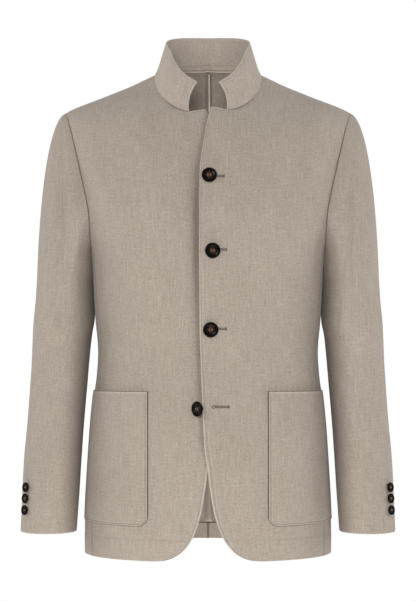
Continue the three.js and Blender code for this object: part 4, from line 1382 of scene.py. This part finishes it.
# It lies clear of the collar, and its own cloth is a share of what it stands out by
FELL_CLEAR, FELL_CLOTH = 0.2, 0.9
fell_columns = np.linspace(FELL_FIRST, 2 * COLLAR_HALF - FELL_FIRST, FELL_COLUMNS)
ends = np.minimum(fell_columns, 2 * COLLAR_HALF - fell_columns)


def under_fell(row):
    """Points of the collar along one of its rows, where the fell lies."""
    right, left = (collar_points(side, ends, np.full_like(ends, row)) for side in (-1, 1))
    return np.where((fell_columns < COLLAR_HALF)[:, None], right, left)


foot = under_fell(0)
up = unit(under_fell(1) - foot)
into = unit(np.cross(unit(np.gradient(foot, axis=0)), up))
points = foot[None] + up[None] * FELL["high"][:, None, None]
proud = COLLAR_CLOTH + FELL_CLEAR + FELL["thick"]
points = points + into[None] * proud[:, None, None]
fell_uv = np.stack(
    [np.broadcast_to(running_length(foot, 0), points.shape[:2]), FELL["high"][:, None] + 0 * ends], -1
)
fell = shell(
    "collar_inner_fell",
    points,
    np.broadcast_to(into, points.shape),
    collar_linen,
    fell_uv * MM,
    (FELL["thick"] * FELL_CLOTH)[:, None],
    seam=0.0,
    tone=FELL["tone"][:, None],
)
declare(points)

# Stitching
# Linen thread in the colour of the cloth, which runs close to the folded edges of both
# fronts. On the collar and the pockets only the groove that the stitches pull shows.

STITCH_PITCH, STITCH_LENGTH, STITCH_RADIUS, STITCH_ARCH = 3.4, 2.4, 0.24, 0.1
SECTION_SIDES = 5
ARCH = np.array([0, 0.18, 0.5, 0.82, 1])


def tube_faces(count, rings, sides):
    """Faces of a number of tubes, each of rings with as many points as it has sides."""
    label = np.arange(count * rings * sides).reshape(count, rings, sides)
    turned = np.roll(label, -1, axis=2)
    return np.stack([label[:, :-1], turned[:, :-1], turned[:, 1:], label[:, 1:]], -1).reshape(-1, 4)


def threads(name, starts, ends, normals, lift, radius, material):
    """One mesh of short threads, each in a low arch from its start to its end."""
    starts, ends, normals = (np.asarray(part, float).reshape(-1, 3) for part in (starts, ends, normals))
    along = unit(ends - starts)
    beside = unit(np.cross(along, normals))
    up = np.cross(beside, along)
    turns = np.arange(SECTION_SIDES) / SECTION_SIDES * 2 * math.pi
    middle = starts[:, None] + (ends - starts)[:, None] * ARCH[None, :, None]
    middle = middle + up[:, None] * (lift * np.sin(ARCH * math.pi))[None, :, None]
    ring = np.cos(turns)[None, :, None] * beside[:, None] + np.sin(turns)[None, :, None] * up[:, None]
    points = middle[:, :, None] + radius * ring[:, None]
    make_mesh(name, points.reshape(-1, 3), tube_faces(*points.shape[:3]), material)


# Length along a thread in which its tone changes, in millimetres
SPUN_MM = 1.111


def spun_thread(name, pale, dark):
    """Twisted thread: matt, with a fine change of tone along it."""
    material, tree, shader = start_material(name, {"Roughness": 0.7, "Sheen Weight": 0.1})
    place = node(tree, "ShaderNodeTexCoord").outputs["Object"]
    scale = 1 / (SPUN_MM * MM)
    tone = node(tree, "ShaderNodeTexNoise", {"Vector": place, "Scale": scale, "Detail": 2.0}).outputs["Fac"]
    colour = node(tree, "ShaderNodeValToRGB", {"Fac": tone})
    low, high = colour.color_ramp.elements
    low.position, low.color = 0.35, linear(dark)
    high.position, high.color = 0.65, linear(pale)
    bump = node(tree, "ShaderNodeBump", {"Height": tone, "Strength": 0.5, "Distance": 0.1 * MM})
    tree.links.new(colour.outputs["Color"], shader.inputs["Base Color"])
    tree.links.new(bump.outputs["Normal"], shader.inputs["Normal"])
    return material


def stitch_row(name, path, normals, material):
    """Evenly spaced stitches along a line of points."""
    length = running_length(path, 0)
    at = np.arange(STITCH_PITCH, length[-1] - STITCH_PITCH, STITCH_PITCH)
    starts, ends = along_line(path, length, at), along_line(path, length, at + STITCH_LENGTH)
    threads(name, starts, ends, along_line(normals, length, at), STITCH_ARCH, STITCH_RADIUS, material)


seam_thread = spun_thread("taupe_linen_thread", "#a3968a", "#8a7c70")
# The row lies this far in from the edge and is pulled this deep into the cloth. It runs from
# just inside the hem's edge to just below the notch.
EDGE_STITCH_IN, EDGE_STITCH_SUNK = 2.8, 0.5
EDGE_STITCH_FROM, EDGE_STITCH_SHORT, EDGE_STITCH_POINTS = 0.6, 0.05, 400
row = np.linspace(EDGE_STITCH_FROM, NOTCH_ROW - EDGE_STITCH_SHORT, EDGE_STITCH_POINTS)
for side in (1, -1):
    place = front_place(side, row, np.full(row.shape, EDGE_STITCH_IN / STAND_STEP_MM))
    path = body_skin(place, lap_step(side, place) + tuck(side, place) - EDGE_STITCH_SUNK)
    stitch_row(f"edge_stitching_{word(side)}", path, body_normal(*place), seam_thread)

# Buttonholes
# Four keyhole buttonholes in the left front, worked over a cord in darker thread. Three are
# under their buttons. The lowest one is free, because its button is undone.

BUTTONHOLES = table(
    "eye_x tail_x z",
    [(1, 22.9, -166), (5, 26.3, -274.8), (3, 26, -392), (8.4, 30, -507.5)],
)
# Half width of the cut, radius of the eyelet, and the length, spacing, radius, height and arch
# of the stitches. EYE_OPEN is the half angle at which the eyelet meets the cut, and EYE_FAN
# the distance out from it at which the stitches have their spacing.
HOLE = {"slit": 0.4, "eye": 1.5, "wide": 1.3, "pitch": 0.62, "thread": 0.34, "stand": 0.15, "arch": 0.35}
EYE_OPEN, EYE_FAN = 28, 0.9
# Stitches of the bar across the tail: half the bar's length, and where they start and end
BAR_STITCHES, BAR_HALF, BAR_FROM, BAR_TO = 8, 1.9, -0.2, 1.9
hole_thread = spun_thread("dark_taupe_buttonhole_thread", "#776a5d", "#52473d")


def keyhole(eye_x, tail_x):
    """Outline of the cut, from the tail round the eyelet and back, with its way outwards."""
    run = np.arange(tail_x, eye_x + HOLE["eye"], -HOLE["pitch"])
    step = HOLE["pitch"] / (HOLE["eye"] + EYE_FAN)
    turn = np.arange(math.radians(EYE_OPEN), math.radians(360 - EYE_OPEN), step)
    low = np.stack([run, np.full(run.shape, -HOLE["slit"])], -1)
    spokes = np.stack([np.cos(-turn), np.sin(-turn)], -1)
    below, above = (np.tile([0, way], (len(run), 1)) for way in (-1, 1))
    line = np.concatenate([low, spokes * HOLE["eye"] + (eye_x, 0), low[::-1] * (1, -1)])
    return line, np.concatenate([below, spokes, above])


def on_left_front(x, z, out):
    place = body_place(np.asarray(x, float), np.asarray(z, float))
    return body_skin(place, LAP_STEP + out), body_normal(*np.broadcast_arrays(*place))


for number, (eye_x, tail_x, z) in enumerate(zip(*BUTTONHOLES.values()), 1):
    line, outward = keyhole(eye_x, tail_x)
    bar = np.linspace(-BAR_HALF, BAR_HALF, BAR_STITCHES)
    bar_start, bar_end = (np.stack([np.full_like(bar, tail_x + x), bar], -1) for x in (BAR_FROM, BAR_TO))
    inner = np.concatenate([line, bar_start])
    outer = np.concatenate([line + outward * HOLE["wide"], bar_end])
    starts, normals = on_left_front(inner[:, 0], z + inner[:, 1], HOLE["stand"])
    ends, _ = on_left_front(outer[:, 0], z + outer[:, 1], HOLE["stand"])
    name = f"buttonhole_stitches_{number}"
    threads(name, starts, ends, normals, HOLE["arch"], HOLE["thread"], hole_thread)

# Buttons
# Four-hole buttons of polished dark horn with a rounded rim and a sunk face, brown in the
# middle and nearly black at the rim. They are sewn on through the holes with beige thread.

HORN_DARK, HORN_MIDDLE, HORN_BROWN = "#050403", "#110c09", "#473325"
HORN_CLOUD_MM = 7.692
# Half of a button's section, as shares of its radius and its thickness
BUTTON_SECTION = table(
    "out up",
    [
        (0, 0),
        (0.62, 0),
        (0.86, 0.16),
        (0.97, 0.4),
        (1, 0.62),
        (0.985, 0.8),
        (0.94, 0.93),
        (0.87, 0.99),
        (0.8, 1),
        (0.73, 0.97),
        (0.67, 0.9),
        (0.62, 0.82),
        (0.57, 0.77),
        (0.5, 0.745),
    ],
)
FACE_UP, FACE_CENTRE = 0.74, 0.012
HOLE_OFF, HOLE_RADIUS, HOLE_DEPTH = 0.17, 0.085, 0.5
FACE_RINGS, BUTTON_SPOKES = 22, 72
# Three threads side by side join two holes: their places, how deep they start in the face and
# how high they arch, as shares, and their radius in millimetres
THREADS_ACROSS, THREAD_SUNK, THREAD_ARCH, THREAD_RADIUS = (-0.035, 0, 0.035), 0.12, 0.28, 0.3
SHANK_THREADS, SHANK_RADIUS, SHANK_THREAD_RADIUS = 8, 1.2, 0.5


def polished_horn(name):
    """Turned and polished horn: glossy, with brown clouds in a nearly black body."""
    material, tree, shader = start_material(name, {"IOR": 1.54, "Specular IOR Level": 0.2})
    face = node(tree, "ShaderNodeUVMap", uv_map="cloth").outputs["UV"]
    out = node(tree, "ShaderNodeVectorMath", {0: face}, operation="LENGTH").outputs["Value"]
    place = node(tree, "ShaderNodeTexCoord").outputs["Object"]
    clouds = {"Vector": place, "Scale": 1 / (HORN_CLOUD_MM * MM), "Detail": 4.0, "Distortion": 1.5}
    cloud = node(tree, "ShaderNodeTexNoise", clouds).outputs["Fac"]
    uneven = node(tree, "ShaderNodeMath", {0: cloud, 1: 0.7, 2: out}, operation="MULTIPLY_ADD")
    colour = node(tree, "ShaderNodeValToRGB", {"Fac": uneven.outputs[0]})
    ramp = colour.color_ramp
    ramp.elements[0].position, ramp.elements[0].color = 0.52, linear(HORN_BROWN)
    ramp.elements[1].position, ramp.elements[1].color = 1.0, linear(HORN_DARK)
    ramp.elements.new(0.84).color = linear(HORN_MIDDLE)
    painted_light_and_wear = node(tree, "ShaderNodeMapRange", {"Value": cloud, "To Min": 0.16, "To Max": 0.34})
    tree.links.new(colour.outputs["Color"], shader.inputs["Base Color"])
    tree.links.new(painted_light_and_wear.outputs[0], shader.inputs["Roughness"])
    return material


horn = polished_horn("polished_dark_horn")
button_thread = spun_thread("beige_button_thread", "#8f745a", "#5f4836")


def button(node_name, size, point, normal, shank=0.0):
    """A turned button with four holes, its threads, and a shank of thread under it."""
    name = f"{node_name}_horn"
    radius, thick = size
    normal = unit(np.asarray(normal, float))
    right = unit(np.cross((0, 0, 1), normal))
    up = np.cross(normal, right)
    face_out = np.linspace(BUTTON_SECTION["out"][-1], FACE_CENTRE, FACE_RINGS)
    ring_out = np.concatenate([BUTTON_SECTION["out"][:-1], face_out])
    ring_up = np.concatenate([BUTTON_SECTION["up"][:-1], np.full(FACE_RINGS, FACE_UP)])
    turns = np.arange(BUTTON_SPOKES) / BUTTON_SPOKES * 2 * math.pi
    u, v = ring_out[:, None] * np.cos(turns), ring_out[:, None] * np.sin(turns)
    high = np.broadcast_to(ring_up[:, None], u.shape).copy()
    face = np.arange(len(ring_out))[:, None] >= len(ring_out) - FACE_RINGS
    for hole_u in (-HOLE_OFF, HOLE_OFF):
        for hole_v in (-HOLE_OFF, HOLE_OFF):
            in_hole = face & (np.hypot(u - hole_u, v - hole_v) < HOLE_RADIUS)
            high[in_hole] -= HOLE_DEPTH
    local = u[..., None] * right * radius + v[..., None] * up * radius + high[..., None] * normal * thick
    uv = np.stack([u, v], -1).reshape(-1, 2)
    made = make_mesh(name, (point + local).reshape(-1, 3), tube_faces(1, *u.shape), horn, uv)
    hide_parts(node_name)
    across = [hole + off for off in THREADS_ACROSS for hole in (-HOLE_OFF, HOLE_OFF)]
    middle = point + np.outer(across, right) * radius + normal * (FACE_UP - THREAD_SUNK) * thick
    starts, ends = (middle + way * HOLE_OFF * up * radius for way in (-1, 1))
    normals = [normal] * len(across)
    threads(f"{name}_thread", starts, ends, normals, THREAD_ARCH * thick, THREAD_RADIUS, button_thread)
    if shank > 0:
        turns = np.arange(SHANK_THREADS) / SHANK_THREADS * 2 * math.pi
        foot = point + SHANK_RADIUS * (np.cos(turns)[:, None] * right + np.sin(turns)[:, None] * up)
        normals = [up] * SHANK_THREADS
        threads(f"{name}_shank", foot, foot - normal * shank, normals, 0, SHANK_THREAD_RADIUS, button_thread)


FRONT_BUTTON, CUFF_BUTTON = (11.5, 4.2), (7.5, 3.2)
FASTENED = [(2.1, -165), (6.8, -276), (4, -393)]
for number, (x, z) in enumerate(FASTENED, 1):
    button(f"button_front_{number}", FRONT_BUTTON, *on_left_front(x, z, 2 * SEAM_GAP))

# The undone button hangs turned on its shank, with its edge against the right front
LOOSE_X, LOOSE_Z, LOOSE_TURN = -14, -510.5, math.radians(45)
stand = FRONT_BUTTON[0] * math.sin(LOOSE_TURN) + 2 * SEAM_GAP
point = body_skin(body_place(LOOSE_X, LOOSE_Z), stand - LAP_STEP)
normal = (-math.sin(LOOSE_TURN), -math.cos(LOOSE_TURN), 0)
button("button_front_4", FRONT_BUTTON, point, normal, shank=stand / math.cos(LOOSE_TURN))

# The cuff buttons lean forward a little on their threads. Short stitches of the closed slit
# show above and between them.
CUFF_ANGLE, CUFF_TILT, CUFF_LIFT = 39, 0.15, 0.9
CUFF_HEIGHTS = [-633, -649.5, -667]
SLIT_ANGLE, SLIT_TOP, SLIT_END, SLIT_PITCH, SLIT_STITCH, SLIT_ARCH = 44, -621, -646, 3.2, 2.3, 0.2


def on_sleeve(side, angle, z):
    """A point on the sleeve and the direction out of it."""
    round_arm = arm_point(side, angle + NEAR_ANGLE, z) - arm_point(side, angle - NEAR_ANGLE, z)
    up = arm_point(side, angle, z + NEAR_LEVEL) - arm_point(side, angle, z - NEAR_LEVEL)
    return arm_point(side, angle, z), unit(np.cross(up, round_arm)) * side


for side in (1, -1):
    for number, z in enumerate(CUFF_HEIGHTS, 1):
        point, normal = on_sleeve(side, math.radians(CUFF_ANGLE), z)
        point = point + normal * (SEAM_GAP + CUFF_LIFT)
        button(f"cuff_button_{word(side)}_{number}", CUFF_BUTTON, point, normal + (0, -CUFF_TILT, 0))
    heights = np.arange(SLIT_TOP, SLIT_END, -SLIT_PITCH)
    slit = math.radians(SLIT_ANGLE)
    starts, normals = on_sleeve(side, slit, heights)
    ends, _ = on_sleeve(side, slit, heights - SLIT_STITCH)
    name = f"cuff_slit_stitches_{word(side)}"
    threads(name, starts, ends, normals, SLIT_ARCH, HOLE["thread"], hole_thread)

# Studio
# The blazer hangs in the air as worn, over a plain pale floor where a wearer would stand. A
# white room lights it faintly from all round. Soft lamps stand in front, at both sides, behind
# it and low down, and give it its form.

FLOOR_Z, FLOOR_RADIUS = -1.45, 1.6
bpy.ops.mesh.primitive_circle_add(
    vertices=96, radius=FLOOR_RADIUS, fill_type="NGON", location=(0, 0, FLOOR_Z)
)
floor = bpy.context.object
floor.name = "floor"
paint, _, _ = start_material("pale_floor_paint", {"Base Color": linear("#efeeec"), "Roughness": 0.7})
floor.data.materials.append(paint)

ROOM_LIGHT = 0.22
world = bpy.data.worlds.new("white_studio")
world.use_nodes = True
seen = node(world.node_tree, "ShaderNodeLightPath").outputs["Is Camera Ray"]
strength = node(
    world.node_tree,
    "ShaderNodeMath",
    {0: seen, 1: 1 - ROOM_LIGHT, 2: ROOM_LIGHT},
    operation="MULTIPLY_ADD",
)
room = world.node_tree.nodes["Background"]
room.inputs["Color"].default_value = (1, 1, 1, 1)
world.node_tree.links.new(strength.outputs[0], room.inputs["Strength"])
bpy.context.scene.world = world
bpy.context.scene.view_settings.view_transform = "Standard"


def lamp(name, place, aim, size, power, mirrored=False):
    """A large soft lamp. Only a mirrored one shows as a highlight in the polished buttons."""
    light = bpy.data.lights.new(name, "AREA")
    light.shape, light.size, light.energy = "SQUARE", size, power
    made = bpy.data.objects.new(name, light)
    made.location = place
    made.rotation_euler = (Vector(aim) - Vector(place)).to_track_quat("-Z", "Y").to_euler()
    made.visible_glossy = mirrored
    bpy.context.scene.collection.objects.link(made)


lamp("key_light", (-1.9, -2.3, 1.0), (0, 0, -0.35), 1.2, 23.5, mirrored=True)
lamp("front_light", (-0.15, -3.2, 0.0), (0, 0, -0.3), 0.7, 55)
lamp("fill_light", (1.9, -2.3, 0.4), (0, 0, -0.35), 1.6, 15)
lamp("left_rim_light", (-2.2, 0.5, 0.2), (0, 0, -0.4), 1.4, 28)
lamp("right_rim_light", (2.2, 0.5, 0.2), (0, 0, -0.4), 1.4, 34)
lamp("floor_bounce_light", (0, -0.1, -1.35), (0, 0, 0), 1.0, 9)
lamp("back_light", (0.5, 2.9, 0.3), (0, 0, -0.35), 1.4, 42)

# Camera
# Level, straight in front, at the height of the middle of the blazer.

CAMERA_DISTANCE, CAMERA_Z, SENSOR_MM = 2.9, -0.35, 36
PIXEL_MM, LONG_SIDE_PIXELS = 1.55, 601
camera = bpy.data.objects.new("camera", bpy.data.cameras.new("camera"))
camera.location = (0, -CAMERA_DISTANCE, CAMERA_Z)
camera.rotation_euler = (math.pi / 2, 0, 0)
camera.data.sensor_width = SENSOR_MM
camera.data.lens = SENSOR_MM * CAMERA_DISTANCE / (PIXEL_MM * MM * LONG_SIDE_PIXELS)
bpy.context.scene.collection.objects.link(camera)
bpy.context.scene.camera = camera
